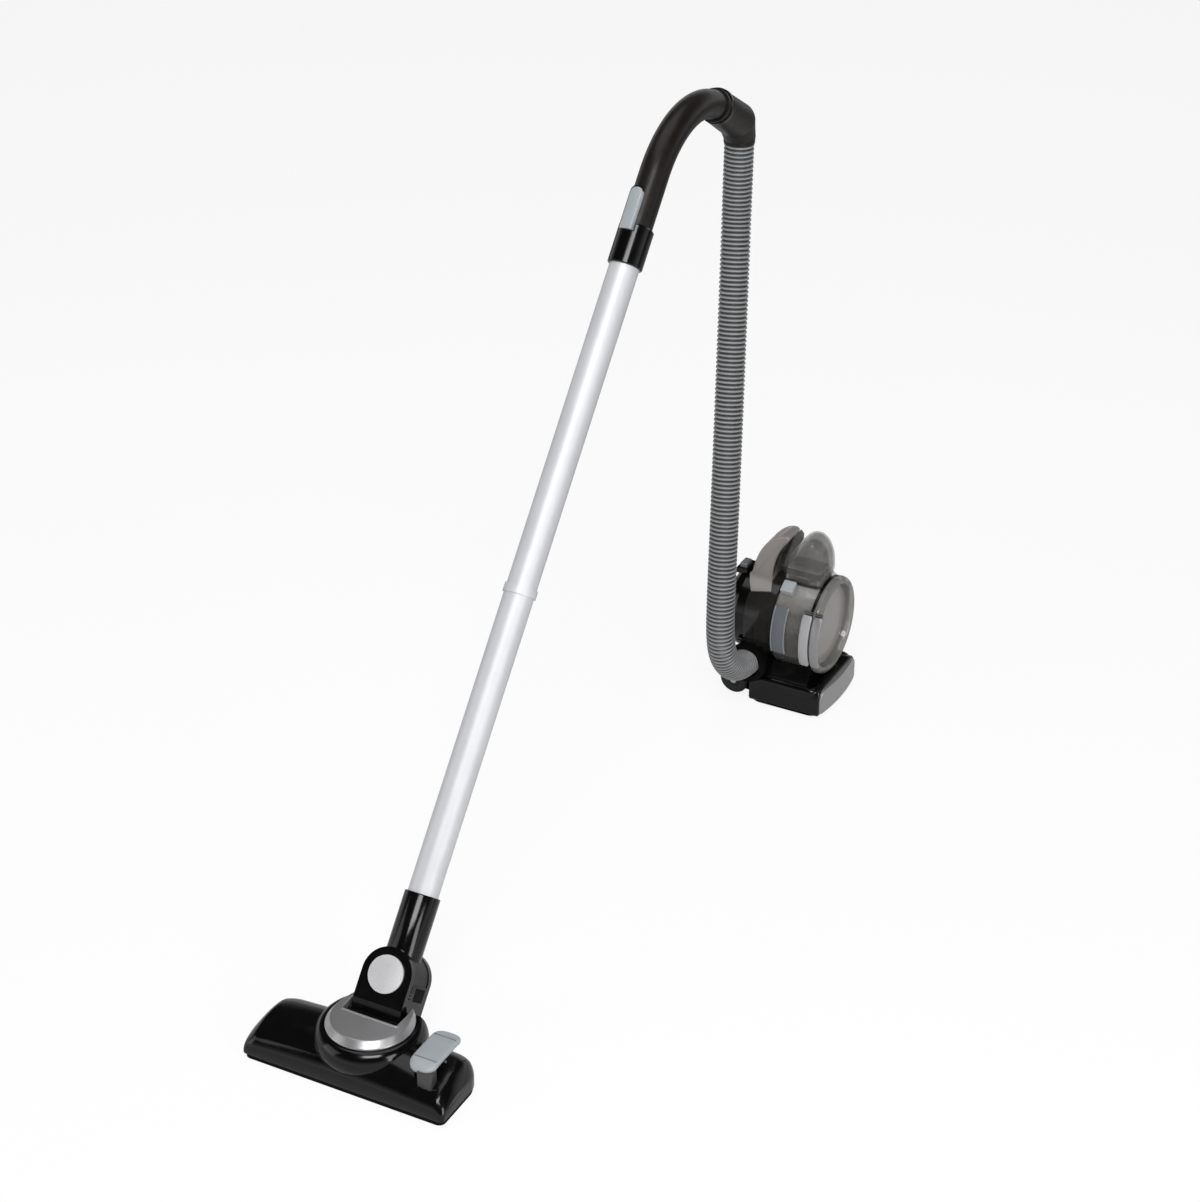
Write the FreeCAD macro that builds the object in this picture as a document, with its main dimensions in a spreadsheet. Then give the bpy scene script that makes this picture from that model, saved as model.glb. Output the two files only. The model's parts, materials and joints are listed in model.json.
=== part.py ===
"""Small canister vacuum cleaner: canister with dust cup, ribbed hose, wand and floor head.

Frame: +Z up, floor at z = 0, origin under the middle of the whole object, the wand leans
towards +Y. Millimetres. The wand and floor head share the plane x = wand_x, and the canister
is symmetric about y = canister_y.
"""
import FreeCAD, Part

import math
import os
from types import SimpleNamespace

import Sketcher
from FreeCAD import Placement, Rotation, Vector

X_AXIS = Vector(1, 0, 0)
Y_AXIS = Vector(0, 1, 0)
Z_AXIS = Vector(0, 0, 1)

SIZES = {
    # places of the two symmetry planes and of the wand
    "wand_x": -12.75,
    "canister_y": 455.25,
    "tilt_y": -441.85,
    "tilt_z": 30.0,
    "steer_reach": 57.1,
    "wand_lean": 39.9,
    "running_gap": 0.05,
    "wall": 2.4,
    # floor head
    "head_half_width": 127.25,
    "head_front": -525.0,
    "head_rear": -438.0,
    "head_crown": 47.0,
    "arch_radius": 900.0,
    "sole_height": 6.0,
    "sole_plate": 3.0,
    "sole_inset": 1.5,
    "turret_y": -454.55,
    "turret_radius": 58.5,
    "turret_top": 46.0,
    "ring_radius": 51.6,
    "ring_top": 55.0,
    "slot_half": 34.25,
    "slot_front": -456.25,
    "tilt_drum_radius": 24.0,
    "tilt_half": 33.4,
    "mouth_front": -509.0,
    "mouth_rear": -487.0,
    "brush_front": -516.0,
    "brush_rear": -480.0,
    "roller_radius": 7.0,
    "roller_spread": 95.0,
    "pedal_x": 78.75,
    "pedal_y": -477.5,
    "pedal_top": 56.0,
    "pedal_width": 34.0,
    "pedal_length": 75.0,
    "pedal_bend": 90.0,
    "pedal_pin_z": 47.0,
    # yoke and neck
    "yoke_half": 30.5,
    "yoke_depth": 26.0,
    "plate_inner": 18.3,
    "neck_drum_radius": 29.7,
    "neck_drum_half": 18.0,
    "cap_radius": 21.4,
    "steer_pin_radius": 6.0,
    "duct_radius": 14.5,
    # wand
    "sleeve_radius": 20.5,
    "sleeve_start": 31.3,
    "sleeve_end": 94.0,
    "tube_radius": 17.5,
    "tube_bore": 16.7,
    "tube_start": 60.0,
    "tube_joint": 445.0,
    "tube_end": 850.0,
    "joint_ring_radius": 19.25,
    "collar_start": 830.0,
    "collar_end": 877.5,
    "bend_start": 942.0,
    "bend_radius": 126.0,
    "bend_turn": 77.1,
    "handle_bore": 15.2,
    "slider_start": 867.5,
    "slider_end": 919.5,
    "slider_width": 14.0,
    # hose and its elbow
    "hose_radius": 18.25,
    "hose_groove": 16.6,
    "hose_bore": 15.4,
    "hose_pitch": 5.5,
    "elbow_radius": 22.5,
    "elbow_bore": 15.0,
    # canister
    "base_corner": 16.0,
    "base_inner_corner": 13.6,
    "base_edge": 9.0,
    "base_front": 132.25,
    "base_step": 33.25,
    "base_back": -3.0,
    "base_half": 58.5,
    "base_rear_half": 36.3,
    "base_bottom": 3.0,
    "base_split": 14.0,
    "base_top": 42.0,
    "plate_bulge": 140.0,
    "wheel_x": 5.75,
    "wheel_radius": 19.5,
    "wheel_outer": 47.5,
    "wheel_width": 10.0,
    "caster_x": 108.0,
    "caster_trail": 7.0,
    "caster_radius": 8.5,
    "axis_z": 110.5,
    "drum_back": -10.0,
    "drum_radius": 55.0,
    "cover_back": 20.0,
    "cover_front": 60.0,
    "cover_radius": 58.0,
    "motor_radius": 27.0,
    "fan_radius": 31.0,
    "shaft_radius": 4.0,
    "cup_back": 62.0,
    "cup_front": 113.0,
    "cup_radius": 62.0,
    "lid_back": 113.6,
    "lid_edge": 120.7,
    "lid_front": 127.6,
    "lid_radius": 66.0,
    "window_radius": 54.0,
    "hinge_x": 115.0,
    "hinge_y": 67.1,
    "inlet_x": 28.75,
    "inlet_z": 57.5,
    "inlet_rim": -61.25,
    "inlet_shoulder": -11.25,
    "inlet_flange": 26.5,
    "inlet_sleeve": 20.9,
    "inlet_bore": 19.2,
    "duct_pipe": 11.0,
    "grip_half": 18.0,
    "dome_half": 21.0,
}

doc = FreeCAD.newDocument("CanisterVacuum")
sheet = doc.addObject("Spreadsheet::Sheet", "Sizes")
for row, (alias, number) in enumerate(SIZES.items(), start=1):
    sheet.set(f"A{row}", alias)
    sheet.set(f"B{row}", str(number))
    sheet.setAlias(f"B{row}", alias)
doc.recompute()


class Size:
    """A length that carries its value and the sheet expression that gives it."""

    def __init__(self, value, text):
        self.value = value
        self.text = text

    def __add__(self, other):
        return Size(value_of(self) + value_of(other), f"({text_of(self)} + {text_of(other)})")

    def __sub__(self, other):
        return Size(value_of(self) - value_of(other), f"({text_of(self)} - {text_of(other)})")

    def __mul__(self, other):
        return Size(value_of(self) * value_of(other), f"({text_of(self)} * {text_of(other)})")

    def __rsub__(self, other):
        return Size(value_of(other) - value_of(self), f"({text_of(other)} - {text_of(self)})")

    def __neg__(self):
        return Size(-value_of(self), f"(0 - {text_of(self)})")

    __radd__ = __add__
    __rmul__ = __mul__


def value_of(term):
    return term.value if isinstance(term, Size) else float(term)


def text_of(term):
    return term.text if isinstance(term, Size) else f"{float(term):.6f}"


S = SimpleNamespace(**{name: Size(value, f"Sizes.{name}") for name, value in SIZES.items()})
V = SimpleNamespace(**SIZES)
nodes = []


# ---------------------------------------------------------------- frames

def axes(x_dir, z_dir, base=Vector(0, 0, 0)):
    """Placement whose Z points along z_dir and whose X is as near x_dir as it can be."""
    return Placement(base, Rotation(x_dir, z_dir.cross(x_dir), z_dir, "ZXY"))


ALONG_X = axes(Y_AXIS, X_AXIS)
ALONG_Y = axes(X_AXIS, Y_AXIS)
TILT = Vector(V.wand_x, V.tilt_y, V.tilt_z)
WAND_TURN = Rotation(X_AXIS, -V.wand_lean)
WAND_DIR = WAND_TURN.multVec(Z_AXIS)
WAND = Placement(TILT + WAND_DIR * V.steer_reach, WAND_TURN)
HEAD = Placement(Vector(V.wand_x, 0, 0), Rotation())
CANISTER = Placement(Vector(0, V.canister_y, 0), Rotation())


def node(item, label, placement=None):
    """Give a finished sub-part its label, its place and its file."""
    item.Label = label
    if placement is not None:
        for coordinate in "xyz":
            item.setExpression(f"Placement.Base.{coordinate}", None)
        item.Placement = placement.multiply(item.Placement)
    nodes.append(item)
    return item


# ---------------------------------------------------------------- primitives and booleans

def bind(item, **sizes):
    """Bind properties to sheet cells, and set those that are plain numbers."""
    for prop, size in sizes.items():
        setattr(item, prop, value_of(size))
        if isinstance(size, Size):
            item.setExpression(prop, size.text)
    return item


def at(item, x=0, y=0, z=0, turn=Rotation()):
    """Place an item, with each coordinate that is a Size bound to the sheet."""
    item.Placement = Placement(Vector(value_of(x), value_of(y), value_of(z)), turn)
    for coordinate, size in (("x", x), ("y", y), ("z", z)):
        if isinstance(size, Size):
            item.setExpression(f"Placement.Base.{coordinate}", size.text)
    return item


def box(x, y, z):
    """Box from three (low, high) pairs."""
    item = doc.addObject("Part::Box", "Block")
    bind(item, Length=x[1] - x[0], Width=y[1] - y[0], Height=z[1] - z[0])
    return at(item, x[0], y[0], z[0])


def centred_box(half_x, half_y, z):
    return box((-half_x, half_x), (-half_y, half_y), z)


def cylinder(radius, low, high, x=0, y=0, z=0, along="z"):
    """Cylinder about the line through x, y, z, from low to high along one axis."""
    item = doc.addObject("Part::Cylinder", "Rod")
    bind(item, Radius=radius, Height=high - low)
    if along == "x":
        return at(item, low + x, y, z, ALONG_X.Rotation)
    if along == "y":
        return at(item, x, low + y, z, ALONG_Y.Rotation)
    return at(item, x, y, low + z)


def ring(outer, inner, low, high, x=0, y=0, z=0, along="z"):
    return cut(cylinder(outer, low, high, x, y, z, along),
               cylinder(inner, low - 1, high + 1, x, y, z, along))


def cut(base, *tools):
    """Base with each tool taken away."""
    for tool in tools:
        item = doc.addObject("Part::Cut", "Cut")
        item.Base = base
        item.Tool = tool
        item.Refine = True
        base = item
    return base


def fuse(*shapes):
    item = doc.addObject("Part::MultiFuse", "Fused")
    item.Shapes = list(shapes)
    item.Refine = True
    return item


def common(*shapes):
    """What all the shapes share."""
    base = shapes[0]
    for tool in shapes[1:]:
        item = doc.addObject("Part::Common", "Shared")
        item.Base = base
        item.Tool = tool
        base = item
    return base


def again(item):
    """A second copy of a construction, because one object belongs to one boolean."""
    return doc.copyObject(item, True)


# ---------------------------------------------------------------- bodies from sketches

def sketch_outline(body, plane, outline):
    """Closed outline of straight sides, each corner held by two dimensions."""
    sketch = body.newObject("Sketcher::SketchObject", "Outline")
    origin_plane = [part for part in body.Origin.OriginFeatures if part.Role == plane][0]
    sketch.AttachmentSupport = [(origin_plane, "")]
    sketch.MapMode = "FlatFace"
    corners = [Vector(value_of(u), value_of(v), 0) for u, v in outline]
    count = len(corners)
    for index in range(count):
        sketch.addGeometry(Part.LineSegment(corners[index], corners[(index + 1) % count]), False)
    for index in range(count):
        sketch.addConstraint(Sketcher.Constraint("Coincident", index, 2, (index + 1) % count, 1))
    for index, (u, v) in enumerate(outline):
        for kind, size in (("DistanceX", u), ("DistanceY", v)):
            held = sketch.addConstraint(Sketcher.Constraint(kind, index, 1, value_of(size)))
            if isinstance(size, Size):
                sketch.setExpression(f"Constraints[{held}]", size.text)
    return sketch


def padded(plane, outline, length, rounds=()):
    """Pad of an outline, centred on its plane. rounds holds (test, radius) pairs for edges."""
    body = doc.addObject("PartDesign::Body", "Body")
    sketch = sketch_outline(body, plane, outline)
    pad = body.newObject("PartDesign::Pad", "Pad")
    pad.Profile = sketch
    bind(pad, Length=length)
    pad.Midplane = True
    doc.recompute()
    return rounded(body, pad, rounds)


def rounded(body, feature, rounds):
    """Fillet the edges that each test picks."""
    for test, radius in rounds:
        picked = [f"Edge{index}" for index, edge in enumerate(feature.Shape.Edges, start=1) if test(edge)]
        fillet = body.newObject("PartDesign::Fillet", "Fillet")
        fillet.Base = (feature, picked)
        bind(fillet, Radius=radius)
        doc.recompute()
        feature = fillet
    body.Tip = feature
    return body


def revolved(outline):
    """Solid of revolution about the body's Z axis. The outline lists (radius, height)."""
    body = doc.addObject("PartDesign::Body", "Body")
    sketch = sketch_outline(body, "XZ_Plane", outline)
    turned = body.newObject("PartDesign::Revolution", "Revolution")
    turned.Profile = sketch
    turned.ReferenceAxis = (sketch, ["V_Axis"])
    turned.Angle = 360
    body.Tip = turned
    return body


def about_drum_axis(item, x=0):
    """Lay a solid of revolution on the canister's drum axis, its height along +X."""
    return at(item, x, 0, S.axis_z, ALONG_X.Rotation)


def middle(edge):
    return edge.valueAt((edge.FirstParameter + edge.LastParameter) / 2)


def is_upright(edge):
    low, high = edge.Vertexes[0].Point, edge.Vertexes[-1].Point
    return abs(low.x - high.x) < 1e-4 and abs(low.y - high.y) < 1e-4


# ---------------------------------------------------------------- floor head

def head_plan(inset, low, high, corner_front, corner_rear):
    """Plan outline of the floor head, drawn in by inset, from low to high."""
    half = S.head_half_width - inset
    front = S.head_front + inset
    rear = S.head_rear - inset
    outline = [(-half, front), (half, front), (half, rear), (-half, rear)]
    middle_y = (V.head_front + V.head_rear) / 2
    rounds = [
        (lambda edge: is_upright(edge) and middle(edge).y < middle_y, corner_front),
        (lambda edge: is_upright(edge) and middle(edge).y > middle_y, corner_rear),
    ]
    body = padded("XY_Plane", outline, high - low, rounds)
    return at(body, 0, 0, (low + high) * 0.5)


def head_solid(inset, bottom):
    """Wings of the floor head: plan, side profile and arched top in common."""
    crown = S.head_crown - inset
    plan = head_plan(inset, bottom, crown + 6, 9.0, 28.0)
    front = S.head_front + inset
    rear = S.head_rear - inset
    profile = [
        (front, bottom), (front, 25.0 - inset), (front + 24, 41.0 - inset),
        (front + 52, crown + 2), (rear - 6, crown - 4), (rear, crown - 17), (rear, bottom),
    ]

    def is_crest(edge):
        place = middle(edge)
        return abs(place.x) < 1 and place.z > V.head_crown - 25

    side = padded("YZ_Plane", profile, S.head_half_width * 2 + 20, [(is_crest, 9.0)])
    arch = cylinder(S.arch_radius, S.head_front - 10, S.head_rear + 10, z=crown - S.arch_radius, along="y")
    turret = cylinder(S.turret_radius - inset, bottom, S.turret_top - inset, y=S.turret_y)
    return fuse(common(plan, side, arch), turret)


def yoke_slot(low, high):
    """Space behind the slot's front edge, open to the back."""
    return box((-S.slot_half, S.slot_half), (S.slot_front, S.slot_front + 80), (low, high))


def make_head_shell():
    outer = head_solid(0.0, S.sole_height)
    inner = head_solid(S.wall, S.sole_height - 1)
    seat_wall = cylinder(S.tilt_drum_radius + 2.4, -S.slot_half - 2.4, S.slot_half + 2.4,
                         y=S.tilt_y, z=S.tilt_z, along="x")
    cheeks = box((-S.slot_half - 2.4, S.slot_half + 2.4), (S.slot_front - 2.4, S.turret_y + 57.0),
                 (S.sole_height, S.turret_top - 2.4))
    walls = common(fuse(seat_wall, cheeks), again(outer))
    seat = cylinder(S.tilt_drum_radius + 0.4, -S.slot_half, S.slot_half, y=S.tilt_y, z=S.tilt_z, along="x")
    air_gate = box((-24.0, 24.0), (S.tilt_y - 40, S.tilt_y - 8), (S.sole_height, 24.0))
    stem_well = box((S.pedal_x - S.wand_x - 10.3, S.pedal_x - S.wand_x + 10.3),
                    (S.head_front + 13.5, S.head_front + 35.0), (20.0, 60.0))
    ring_seat = cylinder(S.ring_radius, S.turret_top, S.ring_top, y=S.turret_y)
    shell = cut(fuse(cut(outer, inner), walls), seat, yoke_slot(3.2, 80.0), air_gate, stem_well, ring_seat)
    trunnions = [cylinder(3.0, side * 33.5 - 4.0, side * 33.5 + 4.0, y=S.tilt_y, z=S.tilt_z, along="x")
                 for side in (-1, 1)]
    centre = S.pedal_x - S.wand_x
    post = cut(box((centre - 7.6, centre + 7.6), (S.pedal_y - 4, S.pedal_y + 4), (36.0, S.pedal_pin_z + 3)),
               cylinder(1.5, centre - 14, centre + 14, y=S.pedal_y, z=S.pedal_pin_z, along="x"))
    node(fuse(shell, post, *trunnions), "head_shell", HEAD)


def make_head_trim():
    """Silver crescent on the turret, with its chamfered rim, open to the back for the yoke."""
    disc = revolved([(0, S.turret_top), (S.ring_radius, S.turret_top), (S.ring_radius, S.ring_top - 3),
                     (S.ring_radius - 2.5, S.ring_top), (0, S.ring_top)])
    disc = at(disc, 0, S.turret_y, 0)
    seat = cylinder(S.tilt_drum_radius + 0.6, -S.slot_half, S.slot_half, y=S.tilt_y, z=S.tilt_z, along="x")
    node(cut(disc, yoke_slot(40.0, 60.0), seat), "turret_ring", HEAD)


def make_head_sole():
    """Sole plate with its rim, suction mouth, brush slots and roller brackets."""
    plate = head_plan(S.sole_inset, 0.0, S.sole_height, 8.0, 26.0)
    turret_foot = cylinder(S.turret_radius - S.sole_inset, 0.0, S.sole_height, y=S.turret_y)
    hollow = fuse(head_plan(S.sole_inset + 2.5, S.sole_plate, S.sole_height + 1, 7.0, 24.0),
                  cylinder(S.turret_radius - 4, S.sole_plate, S.sole_height + 1, y=S.turret_y))
    tray = cut(fuse(plate, turret_foot), hollow)
    brackets = []
    wells = []
    for side in (-1, 1):
        centre = S.roller_spread * side
        for offset in (-11.5, 8.5):
            brackets.append(box((centre + offset, centre + offset + 3), (S.turret_y - 4, S.turret_y + 4),
                                (S.sole_plate, 10.5)))
        wells.append(box((centre - 8, centre + 8), (S.turret_y - 8, S.turret_y + 8), (-1.0, 9.0)))
        wells.append(cylinder(2 + S.running_gap, centre - 12, centre + 12, y=S.turret_y, z=S.roller_radius,
                              along="x"))
    mouth_half = S.head_half_width - 14
    mouth = box((-mouth_half, mouth_half), (S.mouth_front, S.mouth_rear), (-1.0, 9.0))
    for strip in (S.brush_front, S.brush_rear):
        wells.append(box((-S.head_half_width + 12, S.head_half_width - 12), (strip - 2.8, strip + 2.8),
                         (-1.0, 9.0)))
    node(cut(fuse(tray, *brackets), mouth, *wells), "head_sole", HEAD)


def make_head_rollers():
    for side, label in ((-1, "head_roller_left"), (1, "head_roller_right")):
        centre = S.roller_spread * side
        tread = cylinder(S.roller_radius, centre - 7, centre + 7, y=S.turret_y, z=S.roller_radius,
                         along="x")
        stubs = cylinder(2.0, centre - 11, centre + 11, y=S.turret_y, z=S.roller_radius, along="x")
        node(fuse(tread, stubs), label, HEAD)


def make_brushes():
    """Carrier plate that slides up and down inside the head, and its two strips."""
    frame = head_plan(7.0, 10.0, 12.5, 6.0, 20.0)
    keep = box((-S.head_half_width + 10, S.head_half_width - 10), (S.brush_front - 4, S.brush_rear + 4),
               (9.0, 13.0))
    window_half = S.head_half_width - 14
    window = box((-window_half, window_half), (S.mouth_front, S.mouth_rear), (9.0, 14.0))
    node(cut(common(frame, keep), window), "brush_carrier", HEAD)
    half = S.head_half_width - 13
    strips = [box((-half, half), (strip - 2.2, strip + 2.2), (4.0, 10.0))
              for strip in (S.brush_front, S.brush_rear)]
    node(fuse(*strips), "brush_strips", HEAD)


def make_pedal():
    """Rocking pedal: a capsule in plan, bent down at its ends, with two ears on the pin."""
    centre = S.pedal_x - S.wand_x
    half = S.pedal_width * 0.5
    straight = S.pedal_length * 0.5 - half
    middle_block = box((centre - half, centre + half), (S.pedal_y - straight, S.pedal_y + straight),
                       (30.0, 60.0))
    blank = fuse(middle_block,
                 cylinder(half, 30.0, 60.0, x=centre, y=S.pedal_y - straight),
                 cylinder(half, 30.0, 60.0, x=centre, y=S.pedal_y + straight))
    sheet_bend = ring(S.pedal_bend, S.pedal_bend - 5, centre - 30, centre + 30, y=S.pedal_y,
                      z=S.pedal_top - S.pedal_bend, along="x")
    ears = []
    for low in (-12.5, 8.0):
        ears.append(cylinder(3.4, centre + low, centre + low + 4.5, y=S.pedal_y, z=S.pedal_pin_z,
                             along="x"))
        ears.append(box((centre + low, centre + low + 4.5), (S.pedal_y - 3.4, S.pedal_y + 3.4),
                        (S.pedal_pin_z, S.pedal_pin_z + 5)))
    stem = box((centre - 9.75, centre + 9.75), (S.head_front + 15.5, S.head_front + 28.0), (22.0, 48.0))
    bore = cylinder(1.5 + S.running_gap, centre - 14, centre + 14, y=S.pedal_y, z=S.pedal_pin_z, along="x")
    under = cylinder(S.pedal_bend - 2, centre - 30, centre + 30, y=S.pedal_y, z=S.pedal_top - S.pedal_bend,
                     along="x")
    top = common(blank, sheet_bend)
    node(cut(fuse(top, common(stem, under), *ears), bore), "pedal", HEAD)
    node(cylinder(1.5, centre - 13.5, centre + 13.5, y=S.pedal_y, z=S.pedal_pin_z, along="x"),
         "pedal_pin", HEAD)


# ---------------------------------------------------------------- yoke and neck, in the wand's frame

def yoke_solid():
    """Block with a round top on the tilting drum, hollowed for the neck drum and the air."""
    low = -S.steer_reach
    profile = [(-S.yoke_depth, 0.0), (-S.yoke_depth, low + 24), (-S.yoke_depth + 5, low + 9.9),
               (-S.yoke_depth + 5, low), (S.yoke_depth - 4, low), (S.yoke_depth, low + 12),
               (S.yoke_depth, 0.0)]
    block = fuse(padded("YZ_Plane", profile, S.yoke_half * 2),
                 cylinder(S.yoke_half, -S.yoke_depth, S.yoke_depth, along="y"),
                 cylinder(S.tilt_drum_radius, -S.tilt_half, S.tilt_half, z=low, along="x"))
    neck_room = cylinder(S.neck_drum_radius + 0.4, -S.plate_inner, S.plate_inner, along="y")
    swing_room = box((-S.yoke_half - 1, S.yoke_half + 1), (-S.plate_inner, S.plate_inner), (-12.0, 32.0))
    duct = cylinder(S.duct_radius, low, 0.0)
    drum_room = cylinder(S.tilt_drum_radius - 4, -S.tilt_half + 5, S.tilt_half - 5, z=low, along="x")
    gate = box((-24.0, 24.0), (-S.tilt_drum_radius - 1, 8.0), (low - S.tilt_drum_radius - 1, low - 12))
    steer_bores = cylinder(S.steer_pin_radius, -S.yoke_depth - 1, S.yoke_depth + 1, along="y")
    tilt_bores = cylinder(3.0 + S.running_gap, -S.tilt_half - 1, S.tilt_half + 1, z=low, along="x")
    return cut(block, neck_room, swing_room, duct, drum_room, gate, steer_bores, tilt_bores)


def make_yoke():
    depth = S.yoke_depth + 2
    half = S.tilt_half + 2
    front_half = box((-half, half), (-depth, depth * 0), (-S.steer_reach - 30, S.yoke_half + 2))
    back_half = box((-half, half), (depth * 0, depth), (-S.steer_reach - 30, S.yoke_half + 2))
    node(common(yoke_solid(), front_half), "yoke_front", WAND)
    node(common(yoke_solid(), back_half), "yoke_back", WAND)


def make_yoke_caps():
    """Silver discs on the steering axis, each with its stub pin into the neck drum."""
    for side, label in ((-1, "yoke_cap_front"), (1, "yoke_cap_back")):
        disc = revolved([(0, 0), (S.cap_radius, 0), (S.cap_radius, 1.0), (S.cap_radius - 1, 2.0), (0, 2.0)])
        disc = at(disc, 0, S.yoke_depth * side, 0, axes(X_AXIS, Y_AXIS * side).Rotation)
        stub = cylinder(S.steer_pin_radius, S.yoke_depth * side - 5.25 - side * 5.25,
                        S.yoke_depth * side + 5.25 - side * 5.25, along="y")
        node(fuse(disc, stub), label, WAND)


def make_neck():
    """Neck of the wand: a drum on the steering axis and the sleeve that takes the tube."""
    drum = cylinder(S.neck_drum_radius, -S.neck_drum_half, S.neck_drum_half, along="y")
    throat = centred_box(17.0, 17.4, (12.0, S.sleeve_start + 2))
    sleeve = revolved([(0, S.sleeve_start), (S.sleeve_radius, S.sleeve_start),
                       (S.sleeve_radius, S.sleeve_end - 1.5), (S.sleeve_radius - 1.5, S.sleeve_end),
                       (0, S.sleeve_end)])
    duct = cylinder(S.duct_radius, -40.0, S.tube_start + 1)
    socket = cylinder(S.tube_radius, S.tube_start, S.sleeve_end + 1)
    pin_bores = cylinder(S.steer_pin_radius + S.running_gap, -S.neck_drum_half - 1, S.neck_drum_half + 1,
                         along="y")
    node(cut(fuse(drum, throat, sleeve), duct, socket, pin_bores), "neck_sleeve", WAND)


# ---------------------------------------------------------------- wand

def make_tubes():
    lower = fuse(ring(S.tube_radius, S.tube_bore, S.tube_start, S.tube_joint),
                 ring(S.tube_bore, S.tube_bore - 0.8, S.tube_joint - 10, S.tube_joint + 45))
    node(lower, "lower_tube", WAND)
    node(ring(S.tube_radius, S.tube_bore, S.tube_joint, S.tube_end), "upper_tube", WAND)
    joint_ring = ring(S.joint_ring_radius, S.tube_radius, S.tube_joint - 5, S.tube_joint + 5)
    node(joint_ring, "tube_joint_ring", WAND)


def bent_rod(radius, start, stop_short):
    """Round bar up the wand and round the handle's bend, ending stop_short of its end."""
    rod = cylinder(radius, start, S.bend_start)
    bend = doc.addObject("Part::Torus", "Bend")
    turn = S.bend_turn - stop_short
    bind(bend, Radius1=S.bend_radius, Radius2=radius, Angle3=turn)
    at(bend, 0, S.bend_radius, S.bend_start, axes(-Y_AXIS, -X_AXIS).Rotation)
    return fuse(rod, bend)


def make_handle():
    collar = revolved([(S.tube_radius, S.collar_start), (S.sleeve_radius - 1.2, S.collar_start),
                       (S.sleeve_radius, S.collar_start + 1.2), (S.sleeve_radius, S.collar_end - 2),
                       (S.sleeve_radius - 2, S.collar_end), (S.tube_radius, S.collar_end)])
    notch_half = S.slider_width * 0.5 + 0.4
    notch = box((-notch_half, notch_half), (-30.0, -5.0), (S.slider_start - 0.6, S.collar_end + 5))
    node(cut(collar, notch), "handle_collar", WAND)
    relief = cylinder(4.0, -30.0, 0.0, z=S.slider_start + 26, along="y")
    grip = bent_rod(S.tube_radius, S.tube_end + 1, 1.6)
    bore = bent_rod(S.handle_bore, S.tube_end, 0.0)
    node(cut(grip, bore, relief), "handle_tube", WAND)


def make_slider():
    """Sliding cover of the suction relief, curved round the handle."""
    half = S.slider_width * 0.5
    blank = fuse(box((-half, half), (-30.0, 0.0), (S.slider_start, S.slider_end - half)),
                 cylinder(half, -30.0, 0.0, z=S.slider_end - half, along="y"))
    curve = ring(S.tube_radius + 2.9, S.tube_radius + 0.25, S.slider_start, S.slider_end)
    grips = [cylinder(0.5, -8.0, 8.0, y=-S.tube_radius - 2.9, z=S.slider_start + 30 + 4 * step, along="x")
             for step in range(3)]
    node(cut(common(blank, curve), *grips), "suction_slider", WAND)


def make_eyelet():
    loop = ring(3.6, 1.7, -1.6, 1.6, y=S.tube_radius + 3.1, z=S.bend_start - 7, along="x")
    node(cut(loop, cylinder(S.tube_radius, S.collar_end, S.bend_start)), "hanging_eyelet", WAND)


# ---------------------------------------------------------------- elbow and hose

HANDLE_END = WAND.multVec(Vector(
    0,
    V.bend_radius * (1 - math.cos(math.radians(V.bend_turn))),
    V.bend_start + V.bend_radius * math.sin(math.radians(V.bend_turn)),
))
SWIVEL_ANGLE = math.radians(90 - V.wand_lean - V.bend_turn)
SWIVEL_DIR = Vector(0, math.cos(SWIVEL_ANGLE), math.sin(SWIVEL_ANGLE))
ELBOW_KNEE = Vector(V.wand_x, 413.65, 789.3)

# The hose hangs from the elbow, runs down to the canister and turns into its inlet.
HOSE_ROUTE = [
    Vector(V.wand_x, 423.05, 759.0),
    Vector(V.wand_x, 421.0, 691.5),
    Vector(-5.75, 404.25, 622.0),
    Vector(5.25, 376.95, 509.0),
    Vector(16.25, 349.45, 398.5),
    Vector(24.25, 328.15, 287.0),
    Vector(27.25, 318.05, 206.0),
    Vector(28.05, 315.75, 126.0),
    Vector(28.45, 340.75, 82.7),
    Vector(28.75, 384.05, V.inlet_z),
    Vector(28.75, V.canister_y + V.inlet_shoulder, V.inlet_z),
]


def rod_between(radius_low, radius_high, start, stop):
    """Cone or cylinder from one point to another."""
    span = stop - start
    item = doc.addObject("Part::Cone", "Taper")
    bind(item, Radius1=radius_low, Radius2=radius_high, Height=span.Length)
    item.Placement = axes(X_AXIS, span.normalize(), start)
    return item


def ball(radius, centre):
    item = doc.addObject("Part::Sphere", "Ball")
    bind(item, Radius=radius)
    item.Placement = Placement(centre, Rotation())
    return item


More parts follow.
